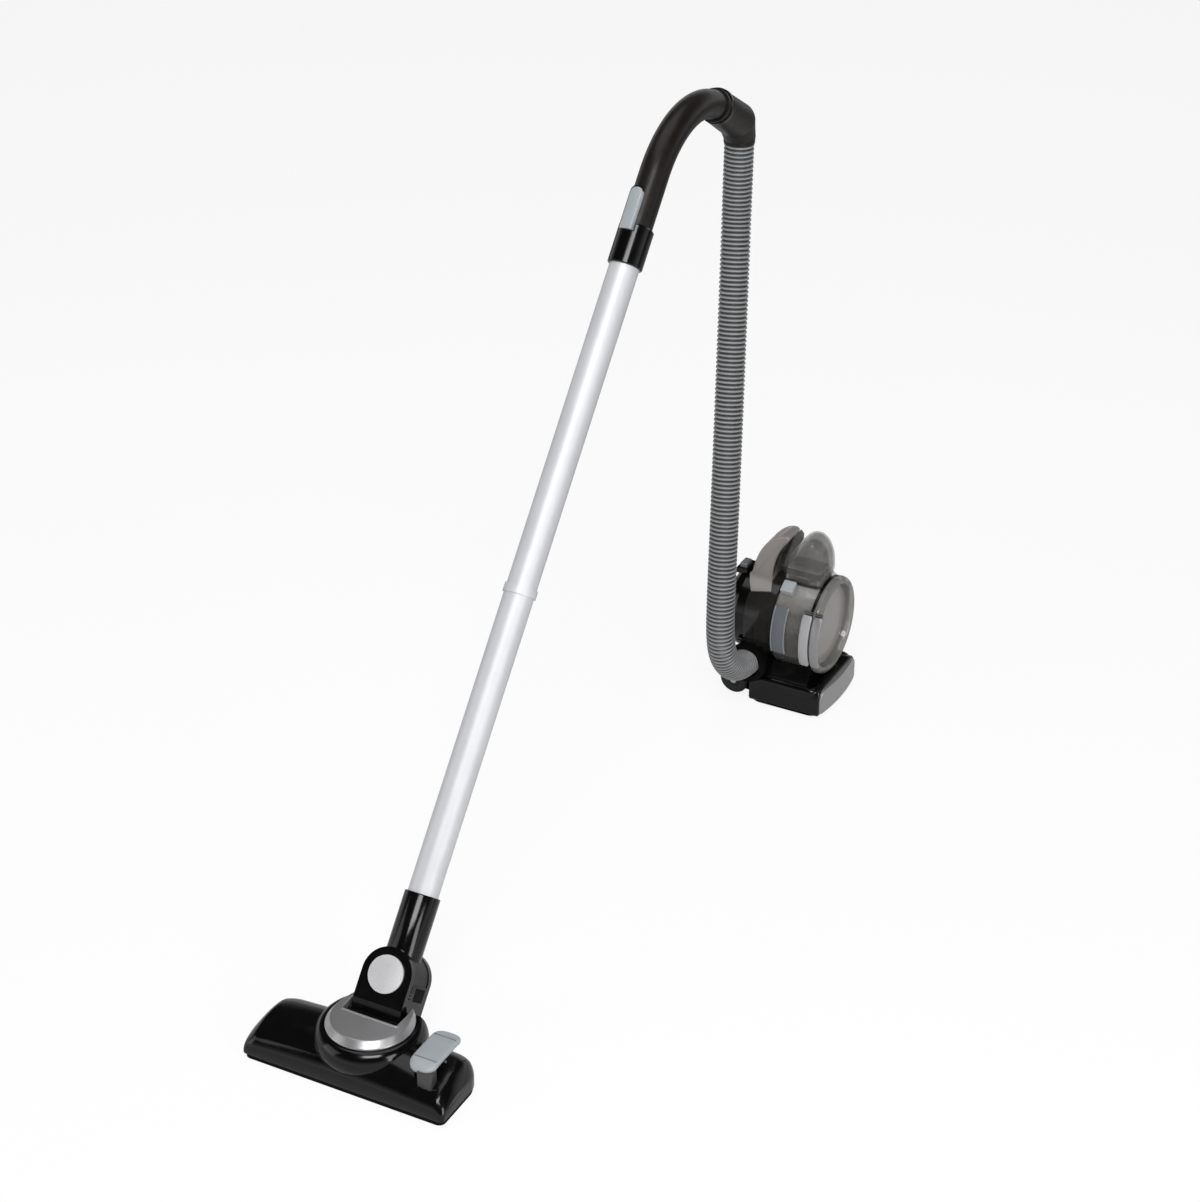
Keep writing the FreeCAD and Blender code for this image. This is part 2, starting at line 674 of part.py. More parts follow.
def make_elbow():
    """Elbow from the handle's swivel down to the hose: barrel, ball, taper and cuff."""
    hose_up = (HOSE_ROUTE[0] - HOSE_ROUTE[1]).normalize()
    cuff_top = HOSE_ROUTE[0] + hose_up * 9
    barrel_start = HANDLE_END + SWIVEL_DIR * 4.3
    outer = fuse(rod_between(S.elbow_radius - 1.5, S.elbow_radius, barrel_start, ELBOW_KNEE),
                 ball(S.elbow_radius, ELBOW_KNEE),
                 rod_between(S.elbow_radius, S.hose_radius + 1.1, ELBOW_KNEE, cuff_top),
                 rod_between(S.hose_radius + 1.1, S.hose_radius + 0.6, cuff_top, HOSE_ROUTE[0]))
    inner = fuse(rod_between(S.elbow_bore, S.elbow_bore, barrel_start - SWIVEL_DIR * 6, ELBOW_KNEE),
                 ball(S.elbow_bore, ELBOW_KNEE),
                 rod_between(S.elbow_bore, S.elbow_bore, ELBOW_KNEE, cuff_top),
                 rod_between(S.elbow_bore, S.elbow_bore, cuff_top, HOSE_ROUTE[0] - hose_up))
    behind = rod_between(40.0, 40.0, HANDLE_END - SWIVEL_DIR * 40, barrel_start)
    node(cut(outer, inner, behind), "hose_elbow")
    collar = cut(rod_between(20.0, 20.0, HANDLE_END - SWIVEL_DIR * 2.9, barrel_start),
                 rod_between(13.6, 13.6, HANDLE_END - SWIVEL_DIR * 30, HANDLE_END + SWIVEL_DIR * 6))
    spigot = cut(rod_between(14.85, 14.85, HANDLE_END - SWIVEL_DIR * 9, HANDLE_END - SWIVEL_DIR * 2.9),
                 rod_between(13.6, 13.6, HANDLE_END - SWIVEL_DIR * 30, HANDLE_END + SWIVEL_DIR * 6))
    node(fuse(collar, spigot), "swivel_ring")


def route_path(route):
    """Straight runs joined by tangent arcs, each as large as its two runs allow."""
    edges = []
    start = route[0]
    radii = []
    for index in range(1, len(route) - 1):
        here = route[index]
        inward = (route[index - 1] - here)
        outward = (route[index + 1] - here)
        reach = 0.45 * min(inward.Length, outward.Length)
        inward.normalize()
        outward.normalize()
        half_turn = (math.pi - inward.getAngle(outward)) / 2
        radius = reach / math.tan(half_turn)
        radii.append(round(radius))
        first = here + inward * reach
        last = here + outward * reach
        to_centre = (inward + outward).normalize()
        crown = here + to_centre * (radius / math.cos(half_turn) - radius)
        edges.append(Part.LineSegment(start, first).toShape())
        edges.append(Part.Arc(first, crown, last).toShape())
        start = last
    edges.append(Part.LineSegment(start, route[-1]).toShape())
    print("hose radii", radii)
    return edges


def stations(edges):
    """Function that gives the point and direction at a distance along the edges."""
    lengths = [edge.Length for edge in edges]

    def station(distance):
        for edge, length in zip(edges, lengths):
            if distance <= length or edge is edges[-1]:
                parameter = edge.getParameterByLength(min(distance, length))
                return edge.valueAt(parameter), edge.tangentAt(parameter)
            distance -= length

    return station, sum(lengths)


def hose_circle(station, distance, radius):
    """Circle square to the hose, its start point held towards +X."""
    point, direction = station(distance)
    sideways = (X_AXIS - direction * X_AXIS.dot(direction)).normalize()
    circle = Part.makeCircle(radius)
    circle.Placement = axes(sideways, direction, point)
    return Part.Wire([circle])


def make_hose():
    """Ribbed hose with its bore: crest and groove turn about, closed by two end rings."""
    station, length = stations(route_path(HOSE_ROUTE))
    ribs = round(length / V.hose_pitch)
    pitch = length / ribs
    outer = []
    for rib in range(ribs):
        for share, radius in ((0.0, V.hose_groove), (0.22, V.hose_groove), (0.38, V.hose_radius),
                              (0.84, V.hose_radius)):
            outer.append(hose_circle(station, (rib + share) * pitch, radius))
    outer.append(hose_circle(station, length, V.hose_groove))
    inner = [hose_circle(station, rib * pitch, V.hose_bore) for rib in range(ribs + 1)]
    faces = Part.makeLoft(outer, False, True).Faces + Part.makeLoft(inner, False, True).Faces
    for rim, hole in ((outer[0], inner[0]), (outer[-1], inner[-1])):
        faces.append(Part.makeFace([rim, hole], "Part::FaceMakerBullseye"))
    skin = Part.makeCompound(faces)
    skin.sewShape()
    solid = Part.makeSolid(skin.Shells[0])
    if solid.Volume < 0:
        solid.reverse()
    tube = math.pi * (V.hose_radius ** 2 - V.hose_bore ** 2) * length
    share = round(solid.Volume / tube, 3)
    print("hose length", round(length), "ribs", ribs, "volume against a plain tube", share)
    hose = doc.addObject("Part::Feature", "Hose")
    hose.Shape = solid
    node(hose, "hose")


def make_connector():
    """Cuff on the hose's end, seated on the socket's shoulder."""
    cuff = ring(S.inlet_bore - 0.3, S.hose_bore - 1, S.inlet_shoulder, S.inlet_shoulder + 6,
                x=S.inlet_x, z=S.inlet_z, along="y")
    node(cuff, "hose_connector", CANISTER)


# ---------------------------------------------------------------- canister base

def base_block(low, high, inset, corner, edge_round=None):
    """Rounded slab of the base, its narrow rear part included, from low to high."""
    back, front = S.base_step + inset, S.base_front - inset
    near, far = -S.base_half + inset, S.base_half - inset
    main = [(back, near), (front, near), (front, far), (back, far)]
    rounds = [(is_upright, corner)]
    if edge_round is not None:
        top = value_of(high - low) / 2
        rounds.append((lambda edge: middle(edge).z > top - 0.01 and not is_upright(edge), edge_round))
    slab = at(padded("XY_Plane", main, high - low, rounds), 0, 0, (low + high) * 0.5)
    tail = box((S.base_back + inset, S.base_step + 20), (-S.base_rear_half + inset, S.base_rear_half - inset),
               (low, high - 2))
    return fuse(slab, tail)


def inlet_room(radius):
    return cylinder(radius, S.inlet_rim - 2, S.inlet_shoulder + 27.2, x=S.inlet_x, z=S.inlet_z, along="y")


def make_base_upper():
    outer = base_block(S.base_split, S.base_top, 0.0, S.base_corner, S.base_edge)
    inner = base_block(S.base_split - 1, S.base_top - S.wall, S.wall, S.base_inner_corner)
    saddles = [cut(box((low, low + 6), (-34.0, 34.0), (S.base_top - 2, 62.0)),
                   cylinder(S.cup_radius + 0.4, low - 1, low + 7, z=S.axis_z, along="x"))
               for low in (68.0, 98.0)]
    plinth = cut(box((2.0, 58.0), (-26.0, 26.0), (S.base_top - 3, 62.0)),
                 cylinder(S.cover_radius, 0.0, 60.0, z=S.axis_z, along="x"))
    caster_boss = cylinder(8.0, 22.0, S.base_top - 1, x=S.caster_x)
    caster_bore = cylinder(4.0 + S.running_gap, 20.0, 34.0, x=S.caster_x)
    shell = fuse(cut(outer, inner), *saddles, plinth, caster_boss)
    axle_room = box((S.wheel_x - 6.2, S.wheel_x + 6.2), (-S.base_rear_half - 2, S.base_rear_half + 2),
                    (10.0, S.wheel_radius + 5.2))
    flange_room = cylinder(S.inlet_flange + 0.2, S.inlet_rim, S.inlet_rim + 9.2, x=S.inlet_x, z=S.inlet_z,
                           along="y")
    rooms = [inlet_room(S.inlet_sleeve + 0.2), flange_room, inlet_duct_room(0.2), caster_bore, axle_room]
    node(cut(shell, *rooms), "base_upper_shell", CANISTER)


def make_base_lower():
    outer = base_block(S.base_bottom, S.base_split, 0.0, S.base_corner)
    inner = base_block(S.base_bottom + S.wall, S.base_split + 1, S.wall, S.base_inner_corner)
    caster_well = cylinder(21.0, 0.0, S.base_split - 0.5, x=S.caster_x)
    well_wall = cylinder(23.0, S.base_bottom, S.base_split - 0.5, x=S.caster_x)
    axle_block = box((S.wheel_x - 6, S.wheel_x + 6), (-S.base_rear_half + 1, S.base_rear_half - 1),
                     (S.base_bottom + 1, S.wheel_radius + 5))
    axle_bore = cylinder(3.0, -50.0, 50.0, x=S.wheel_x, z=S.wheel_radius, along="y")
    tray = fuse(cut(outer, inner), well_wall, axle_block)
    node(cut(tray, caster_well, axle_bore), "base_lower_shell", CANISTER)


def make_front_plate():
    """Convex satin plate on the front end of the base, bare of any name."""
    bulge = 189.0
    blank = box((S.base_front + 0.05, S.plate_bulge + 1), (-50.5, 50.5), (6.0, 40.0))
    curve = cylinder(bulge, 0.0, 50.0, x=S.plate_bulge - bulge)
    slot = box((S.base_front, S.plate_bulge + 2), (30.0, 44.0), (31.0, 34.0))
    node(cut(common(blank, curve), slot), "front_trim_plate", CANISTER)


def make_wheels():
    inner_face = S.wheel_outer - S.wheel_width
    for side, label in ((-1, "rear_wheel_near"), (1, "rear_wheel_far")):
        profile = [(3 + S.running_gap, 0.0), (12.0, 0.0), (13.0, 1.5), (S.wheel_radius - 2, 1.5),
                   (S.wheel_radius, 3.5), (S.wheel_radius, S.wheel_width - 2),
                   (S.wheel_radius - 2, S.wheel_width), (9.0, S.wheel_width), (8.0, S.wheel_width - 1.5),
                   (3 + S.running_gap, S.wheel_width - 1.5)]
        wheel = at(revolved(profile), S.wheel_x, inner_face * side, S.wheel_radius,
                   axes(X_AXIS, Y_AXIS * side).Rotation)
        node(wheel, label, CANISTER)
    rod = cylinder(3.0, -S.wheel_outer - 1, S.wheel_outer + 1, x=S.wheel_x, z=S.wheel_radius, along="y")
    ends = [cylinder(4.5, side * (S.wheel_outer + 0.7) - 0.5, side * (S.wheel_outer + 0.7) + 0.5,
                     x=S.wheel_x, z=S.wheel_radius, along="y") for side in (-1, 1)]
    node(fuse(rod, *ends), "wheel_axle", CANISTER)


def make_caster():
    axle_x = S.caster_x - S.caster_trail
    stem = cylinder(4.0, 18.0, 33.0, x=S.caster_x)
    crown = cylinder(11.0, 18.0, 21.5, x=S.caster_x)
    cheeks = []
    for low in (-8.0, 5.6):
        cheeks.append(box((axle_x - 3, S.caster_x + 4), (low, low + 2.4), (S.caster_radius - 2.5, 19.0)))
    pin = cylinder(2.0, -8.0, 8.0, x=axle_x, z=S.caster_radius, along="y")
    node(fuse(stem, crown, pin, *cheeks), "caster_fork", CANISTER)
    node(ring(S.caster_radius, 2 + S.running_gap, -5.2, 5.2, x=axle_x, z=S.caster_radius, along="y"),
         "caster_wheel", CANISTER)


# ---------------------------------------------------------------- motor and housing

def inlet_duct_room(extra):
    """Space of the pipe that leads the air from the inlet forward to the cup."""
    return cylinder(S.duct_pipe + 1.8 + extra, S.inlet_x, S.cup_back, z=S.inlet_z, along="x")


def make_inlet():
    """Socket that the hose's cuff seats in, and the pipe from it to the cup."""
    flange = ring(S.inlet_flange, S.inlet_bore, S.inlet_rim, S.inlet_rim + 9, x=S.inlet_x, z=S.inlet_z,
                  along="y")
    sleeve = ring(S.inlet_sleeve, S.inlet_bore, S.inlet_rim + 5, S.inlet_shoulder + 6,
                  x=S.inlet_x, z=S.inlet_z, along="y")
    floor = cylinder(S.inlet_sleeve, S.inlet_shoulder + 6, S.inlet_shoulder + 27,
                     x=S.inlet_x, z=S.inlet_z, along="y")
    chamber = cylinder(S.inlet_sleeve - 2, S.inlet_shoulder + 5, S.inlet_shoulder + 24,
                       x=S.inlet_x, z=S.inlet_z, along="y")
    socket = cut(fuse(flange, sleeve, floor), chamber, inlet_duct_room(0.0))
    node(socket, "inlet_socket", CANISTER)
    bend_wall = cylinder(S.inlet_sleeve + 0.2, S.inlet_rim, S.inlet_shoulder + 27.2,
                         x=S.inlet_x, z=S.inlet_z, along="y")
    pipe = ring(S.duct_pipe + 1.6, S.duct_pipe, S.inlet_x + 12, S.cup_back - 0.3, z=S.inlet_z, along="x")
    node(cut(pipe, bend_wall), "inlet_duct", CANISTER)


def make_rear_housing():
    """Rear drum with its closed back, the raised switch housing and the vent seat."""
    outline = [(38.0, 0.0), (46.0, 0.5), (S.drum_radius - 2, 8.0), (S.drum_radius, 18.0),
               (S.drum_radius, 30.0), (S.drum_radius - S.wall, 30.0), (S.drum_radius - S.wall, 18.0),
               (S.drum_radius - 4.4, 9.0), (44.5, 3.0), (38.0, 3.0)]
    drum = about_drum_axis(revolved(outline), S.drum_back)
    ridge = cut(box((S.drum_back, 5.5), (-14.0, 14.0), (S.axis_z + 40, 168.0)),
                cylinder(S.drum_radius - S.wall, -20.0, 20.0, z=S.axis_z, along="x"))
    button_well = box((S.drum_back + 2.2, 2.8), (-8.8, 8.8), (S.axis_z + 30, 170.0))
    node(cut(fuse(drum, ridge), button_well, inlet_room(S.inlet_sleeve + 0.2)), "rear_housing", CANISTER)


def make_power_controls():
    button = padded("XY_Plane", [(-5.0, -8.5), (5.0, -8.5), (5.0, 8.5), (-5.0, 8.5)], 12.0,
                    [(lambda edge: True, 1.8)])
    node(at(button, S.drum_back + 7.5, 0, 167.5), "power_button", CANISTER)
    node(box((S.drum_back + 8.2, 3.0), (-7.0, 7.0), (146.0, 155.0)), "power_switch", CANISTER)


def make_exhaust():
    grille = cylinder(37.7, S.drum_back, S.drum_back + 2.6, z=S.axis_z, along="x")
    slots = []
    for level in (-24, -16, -8, 4.5, 12.5, 20.5):
        slots.append(box((S.drum_back - 1, S.drum_back + 4), (-26.0, 26.0),
                         (S.axis_z + level, S.axis_z + level + 3.5)))
    cord_hole = cylinder(6.0, S.drum_back - 1, S.drum_back + 4, z=S.axis_z, along="x")
    node(cut(grille, *slots, cord_hole), "exhaust_grille", CANISTER)
    node(cut(cylinder(37.0, S.drum_back + 3.2, S.drum_back + 8, z=S.axis_z, along="x"),
             cylinder(7.5, S.drum_back + 3, S.drum_back + 9, z=S.axis_z, along="x")),
         "exhaust_filter", CANISTER)
    gland = fuse(cylinder(5.9, S.drum_back - 4, S.drum_back + 8, z=S.axis_z, along="x"),
                 cylinder(7.2, S.drum_back - 1.5, S.drum_back - 0.1, z=S.axis_z, along="x"))
    node(cut(gland, cylinder(3.5, S.drum_back - 5, S.drum_back + 9, z=S.axis_z, along="x")),
         "cord_gland", CANISTER)


def make_motor_cover():
    """Smoky cover over the motor, its rear edge inside the rear drum's line."""
    outline = [(S.cover_radius - 2.4, 0.0), (S.cover_radius, 1.5), (S.cover_radius, 38.5),
               (S.cover_radius - 1.5, 40.0), (46.0, 40.0), (46.0, 37.8), (S.cover_radius - 2.2, 37.8),
               (S.cover_radius - 2.4, 37.0)]
    cover = about_drum_axis(revolved(outline), S.cover_back + 0.1)
    node(cut(cover, inlet_room(S.inlet_sleeve + 0.2), inlet_duct_room(0.2)), "motor_cover", CANISTER)


def make_motor():
    """Motor can, fan housing with its mounting flange, rotor with its fan, and filter."""
    back = S.drum_back + 12
    can = ring(S.motor_radius, S.motor_radius - 2, back + 2, back + 28, z=S.axis_z, along="x")
    bearing = ring(S.motor_radius, S.shaft_radius + S.running_gap, back, back + 3, z=S.axis_z, along="x")
    node(fuse(can, bearing), "motor_body", CANISTER)
    fan_can = about_drum_axis(revolved([
        (S.shaft_radius + S.running_gap, 0.0), (S.fan_radius, 0.0), (S.fan_radius, 18.0), (18.0, 18.0),
        (18.0, 16.2), (S.fan_radius - 1.8, 16.2), (S.fan_radius - 1.8, 1.8),
        (S.shaft_radius + S.running_gap, 1.8)]), back + 28)
    flange = ring(S.cover_radius - 2.6, S.fan_radius, back + 34, back + 38, z=S.axis_z, along="x")
    node(cut(fuse(fan_can, flange), inlet_room(S.inlet_sleeve + 0.2), inlet_duct_room(0.2)),
         "fan_housing", CANISTER)
    shaft = cylinder(S.shaft_radius, back - 2, back + 42, z=S.axis_z, along="x")
    core = cylinder(S.motor_radius - 9, back + 6, back + 25, z=S.axis_z, along="x")
    disc = cylinder(S.fan_radius - 4, back + 32, back + 33.5, z=S.axis_z, along="x")
    blades = []
    for turn in range(6):
        blade = box((0.0, 6.0), (-0.8, 0.8), (8.0, S.fan_radius - 5))
        at(blade, back + 33.4, 0, S.axis_z, Rotation(X_AXIS, 60 * turn))
        blade.Placement = blade.Placement.multiply(Placement(Vector(0, -0.8, 8), Rotation()))
        blades.append(blade)
    node(fuse(shaft, core, disc, *blades), "fan_rotor", CANISTER)
    node(cylinder(40.0, S.cover_front - 11, S.cover_front - 4, z=S.axis_z, along="x"),
         "pre_motor_filter", CANISTER)


def make_carry_handle():
    """Curved fin over the housing: the carrying handle, open below its tip."""
    outline = [(6.0, 130.6), (11.4, 175.7), (18.5, 196.5), (29.9, 214.6), (43.5, 229.5), (59.4, 241.2),
               (69.0, 240.3), (72.8, 229.0), (63.5, 216.5), (56.4, 203.4), (48.5, 178.6), (40.6, 156.0),
               (28.0, 133.0)]

    def is_outer_edge(edge):
        return abs(abs(middle(edge).y) - V.grip_half) < 0.01 and middle(edge).z > 150

    fin = padded("XZ_Plane", outline, S.grip_half * 2, [(is_outer_edge, 3.0)])
    housing = cylinder(S.cover_radius + 0.05, -20.0, 70.0, z=S.axis_z, along="x")
    ridge_room = box((-20.0, 5.6), (-20.0, 20.0), (100.0, 172.0))
    node(cut(fin, housing, ridge_room), "carry_handle", CANISTER)


# ---------------------------------------------------------------- dust cup

def make_cup():
    """Clear cup, open at the front, with an inlet port and a central outlet at the back."""
    depth = S.cup_front - S.cup_back
    outline = [(20.0, 0.0), (S.cup_radius - 2, 0.0), (S.cup_radius, 2.0), (S.cup_radius, depth),
               (S.cup_radius - 2.2, depth), (S.cup_radius - 2.2, 2.4), (20.0, 2.4)]
    shell = about_drum_axis(revolved(outline), S.cup_back)
    port = cylinder(S.duct_pipe - 2, S.cup_back - 1, S.cup_back + 4, z=S.inlet_z + 6, along="x")
    knuckles = [fuse(cylinder(2.6, low, low + 12, x=S.hinge_x, y=S.hinge_y),
                     cut(box((S.hinge_x - 5, S.hinge_x - 1.8), (50.0, S.hinge_y), (low, low + 12)),
                         cylinder(S.cup_radius - 1, 60.0, 130.0, z=S.axis_z, along="x")))
                for low in (S.axis_z - 28, S.axis_z + 16)]
    pin_bore = cylinder(1.5, 70.0, 150.0, x=S.hinge_x, y=S.hinge_y)
    node(cut(fuse(shell, *knuckles), port, pin_bore), "cup_shell", CANISTER)


def dome_outline(inset):
    return [(61.0 + inset, 150.0), (61.0 + inset, 186.0), (68.0 + inset, 212.0),
            (77.0 + inset, 231.5 - inset), (86.0, 239.5 - inset), (97.0, 239.5 - inset),
            (107.0 - inset, 228.0 - inset), (112.6 - inset, 205.0), (112.6 - inset, 150.0)]


def make_cup_dome():
    """Smoky hood on top of the cup, hollow, that the hand pulls the cup by."""

    def is_long_edge(edge):
        return abs(abs(middle(edge).y) - V.dome_half) < 0.01 and middle(edge).z > 160

    outer = padded("XZ_Plane", dome_outline(0.0), S.dome_half * 2, [(is_long_edge, 6.0)])
    inner = padded("XZ_Plane", dome_outline(2.2), S.dome_half * 2 - 4.4)
    cup_room = cylinder(S.cup_radius + 0.05, 50.0, 130.0, z=S.axis_z, along="x")
    node(cut(outer, inner, cup_room), "cup_dome", CANISTER)


def arc_plate(inner, outer, low, high, start, turn):
    """Piece of a tube round the drum axis, from start degrees, measured from +Z towards -Y."""
    plate = ring(outer, inner, low, high, z=S.axis_z, along="x")
    wedge = doc.addObject("Part::Cylinder", "Wedge")
    bind(wedge, Radius=100.0, Height=high - low + 2, Angle=turn)
    at(wedge, low - 1, 0, S.axis_z, ALONG_X.Rotation.multiply(Rotation(Z_AXIS, 90 + start)))
    return common(plate, wedge)


def make_cup_fittings():
    """Pieces on the cup: side band, separator, seal, release button and latch."""
    node(arc_plate(S.cup_radius + 0.05, S.cup_radius + 2, 62.5, 81.0, 50.0, 62.0), "cup_side_band", CANISTER)
    nose = revolved([(0.0, 32.0), (26.0, 32.0), (26.0, 34.0), (11.0, 48.0), (8.0, 49.0), (0.0, 49.0)])
    node(about_drum_axis(nose, S.cup_back), "cyclone_cone", CANISTER)
    mesh = ring(26.0, 24.2, S.cup_back + 2.4, S.cup_back + 32, z=S.axis_z, along="x")
    holes = []
    for turn in range(12):
        for row in range(3):
            hole = cylinder(3.0, 20.0, 30.0)
            around = Placement(Vector(V.cup_back + 9.5 + 7.5 * row, 0, V.axis_z), Rotation(X_AXIS, 30 * turn))
            hole.Placement = around.multiply(Placement(Vector(0, 0, 20), Rotation()))
            hole.setExpression("Placement.Base.z", None)
            holes.append(hole)
    node(cut(mesh, *holes), "filter_shroud", CANISTER)
    node(ring(31.0, 28.0, S.cup_back - 1.6, S.cup_back, z=S.axis_z, along="x"), "cup_seal", CANISTER)
    node(arc_plate(S.cup_radius + 2.4, S.cup_radius + 6.2, 64.0, 80.0, 21.0, 17.0),
         "cup_release_button", CANISTER)
    node(arc_plate(S.cup_radius + 1.6, S.cup_radius + 4.6, 103.0, 113.2, 56.0, 68.0), "latch_lever", CANISTER)


def make_lid():
    """Front lid: rim with a rounded shoulder, recessed clear window, seal, catch and hinge."""
    depth = S.lid_front - S.lid_back
    edge = S.lid_edge - S.lid_back
    rim = about_drum_axis(revolved([
        (S.window_radius - 2, depth - 1.4), (S.window_radius - 1, depth), (S.window_radius + 2, depth),
        (S.lid_radius - 3.5, depth - 3.2), (S.lid_radius - 1, edge + 1.4), (S.lid_radius, edge - 1),
        (S.lid_radius, 0.0), (S.window_radius - 2, 0.0), (S.window_radius - 2, 2.0),
        (S.lid_radius - 3, 2.2), (S.lid_radius - 3, edge), (S.window_radius - 2, depth - 5.2)]), S.lid_back)
    ear = fuse(cylinder(2.6, S.axis_z - 15.6, S.axis_z + 15.6, x=S.hinge_x, y=S.hinge_y),
               box((S.hinge_x - 0.9, S.hinge_x + 2.6), (S.lid_radius - 4, S.hinge_y),
                   (S.axis_z - 15.6, S.axis_z + 15.6)))
    cup_clear = cylinder(S.cup_radius + 0.4, 100.0, S.lid_back, z=S.axis_z, along="x")
    pin_bore = cylinder(1.5 + S.running_gap, 80.0, 140.0, x=S.hinge_x, y=S.hinge_y)
    hinge_gap = [cylinder(3.1, S.axis_z + low, S.axis_z + low + 12.6, x=S.hinge_x, y=S.hinge_y)
                 for low in (-28.3, 15.7)]
    node(cut(fuse(rim, cut(ear, cup_clear)), pin_bore, *hinge_gap), "lid_rim", CANISTER)
    node(about_drum_axis(revolved([
        (0.0, 9.0), (20.0, 8.6), (38.0, 7.2), (S.window_radius - 2.1, 5.4), (S.window_radius - 2.1, 3.2),
        (38.0, 5.2), (20.0, 6.6), (0.0, 7.0)]), S.lid_back), "lid_window", CANISTER)
    node(ring(S.cup_radius - 2.6, S.cup_radius - 5, S.lid_back - 3, S.lid_back - 0.05, z=S.axis_z, along="x"),
         "lid_seal", CANISTER)
    node(arc_plate(S.lid_radius + 0.05, S.lid_radius + 2.6, 118.0, 131.0, 50.0, 66.0), "lid_catch", CANISTER)
    node(cylinder(1.5, S.axis_z - 28, S.axis_z + 28, x=S.hinge_x, y=S.hinge_y), "lid_hinge_pin", CANISTER)


def write_parts():
    """Check every object and sub-part, then write one STEP file per node."""
    doc.recompute()
    for item in doc.Objects:
        if "Invalid" in item.State or "Error" in item.State:
            raise RuntimeError(f"{item.Label} failed: {item.State}")
    for item in nodes:
        if item.Shape.isNull() or not item.Shape.isValid():
            raise RuntimeError(f"{item.Label} has no valid shape")
    os.makedirs("parts", exist_ok=True)
    for item in nodes:
        item.Shape.exportStep(f"parts/{item.Label}.step")
    print(len(nodes), "parts written")


make_head_shell()
make_head_trim()
make_head_sole()
make_head_rollers()
make_brushes()
make_pedal()
make_yoke()
make_yoke_caps()
make_neck()
make_tubes()
make_handle()
make_slider()
make_eyelet()
make_elbow()
make_hose()
make_connector()
make_base_upper()
make_base_lower()
make_front_plate()
make_wheels()
make_caster()
make_inlet()
make_rear_housing()
make_power_controls()
make_exhaust()
make_motor_cover()
make_motor()
make_carry_handle()
make_cup()
make_cup_dome()
make_cup_fittings()
make_lid()
write_parts()
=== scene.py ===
"""Canister vacuum cleaner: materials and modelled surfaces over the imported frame, in metres."""

import json
import math

import bmesh
import bpy
import numpy as np
from bpy.props import FloatProperty, FloatVectorProperty, IntProperty, PointerProperty
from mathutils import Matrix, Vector


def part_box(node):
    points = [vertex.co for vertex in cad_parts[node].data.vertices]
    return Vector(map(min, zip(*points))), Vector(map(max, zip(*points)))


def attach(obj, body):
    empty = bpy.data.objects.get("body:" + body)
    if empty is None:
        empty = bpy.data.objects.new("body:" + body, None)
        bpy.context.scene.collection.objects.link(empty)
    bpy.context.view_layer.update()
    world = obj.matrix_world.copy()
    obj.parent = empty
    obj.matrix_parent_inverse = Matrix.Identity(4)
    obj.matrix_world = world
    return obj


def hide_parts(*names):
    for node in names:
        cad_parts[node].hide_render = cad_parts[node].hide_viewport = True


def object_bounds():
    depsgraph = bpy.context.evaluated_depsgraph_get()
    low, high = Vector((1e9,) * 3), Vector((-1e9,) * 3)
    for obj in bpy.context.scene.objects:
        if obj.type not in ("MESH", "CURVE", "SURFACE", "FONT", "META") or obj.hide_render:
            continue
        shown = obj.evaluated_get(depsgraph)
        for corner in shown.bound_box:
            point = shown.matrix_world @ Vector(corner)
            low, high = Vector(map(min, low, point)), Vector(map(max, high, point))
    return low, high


bl_info = {
    "name": "Canister Vacuum Cleaner",
    "version": (1, 0, 0),
    "blender": (4, 5, 0),
    "location": "3D Viewport > Sidebar > Vacuum",
    "description": "Builds the surfaces, finishes and stage of a small canister vacuum cleaner",
    "category": "Add Mesh",
}

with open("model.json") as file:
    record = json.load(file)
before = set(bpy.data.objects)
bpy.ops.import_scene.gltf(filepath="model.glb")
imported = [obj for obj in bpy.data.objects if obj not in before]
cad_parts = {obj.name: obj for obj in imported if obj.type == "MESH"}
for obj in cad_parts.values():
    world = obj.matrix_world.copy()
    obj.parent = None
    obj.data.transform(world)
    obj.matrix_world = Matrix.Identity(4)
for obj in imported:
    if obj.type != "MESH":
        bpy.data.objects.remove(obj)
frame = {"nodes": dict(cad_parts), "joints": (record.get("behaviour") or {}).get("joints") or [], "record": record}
CAD_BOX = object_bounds()
NODES = frame["nodes"]
JOINTS = {joint["name"]: joint for joint in frame["joints"]}
FLOOR = CAD_BOX[0][2]
MM = 0.001


# ---------------- places read from the frame

def low(node):
    return np.array(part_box(node)[0])


def high(node):
    return np.array(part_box(node)[1])


def mid(node):
    return (low(node) + high(node)) / 2


def joint_axis(name):
    return np.array(JOINTS[name]["axis"])


WAND_AXIS = joint_axis("suction_slide")
STEER_AXIS = joint_axis("steer")
STEER = np.array(JOINTS["steer"]["pos_m"])
TILT = np.array(JOINTS["tilt"]["pos_m"])
X_AXIS, Y_AXIS, Z_AXIS = np.eye(3)
CANISTER_Y, DRUM_Z = mid("motor_body")[1:]


# ---------------- sizes and colours that a user would change

def swatch(name, description, default):
    """Colour property with three channels."""
    return FloatVectorProperty(name=name, description=description, default=default, size=3, subtype="COLOR",
                               min=0.0, max=1.0)


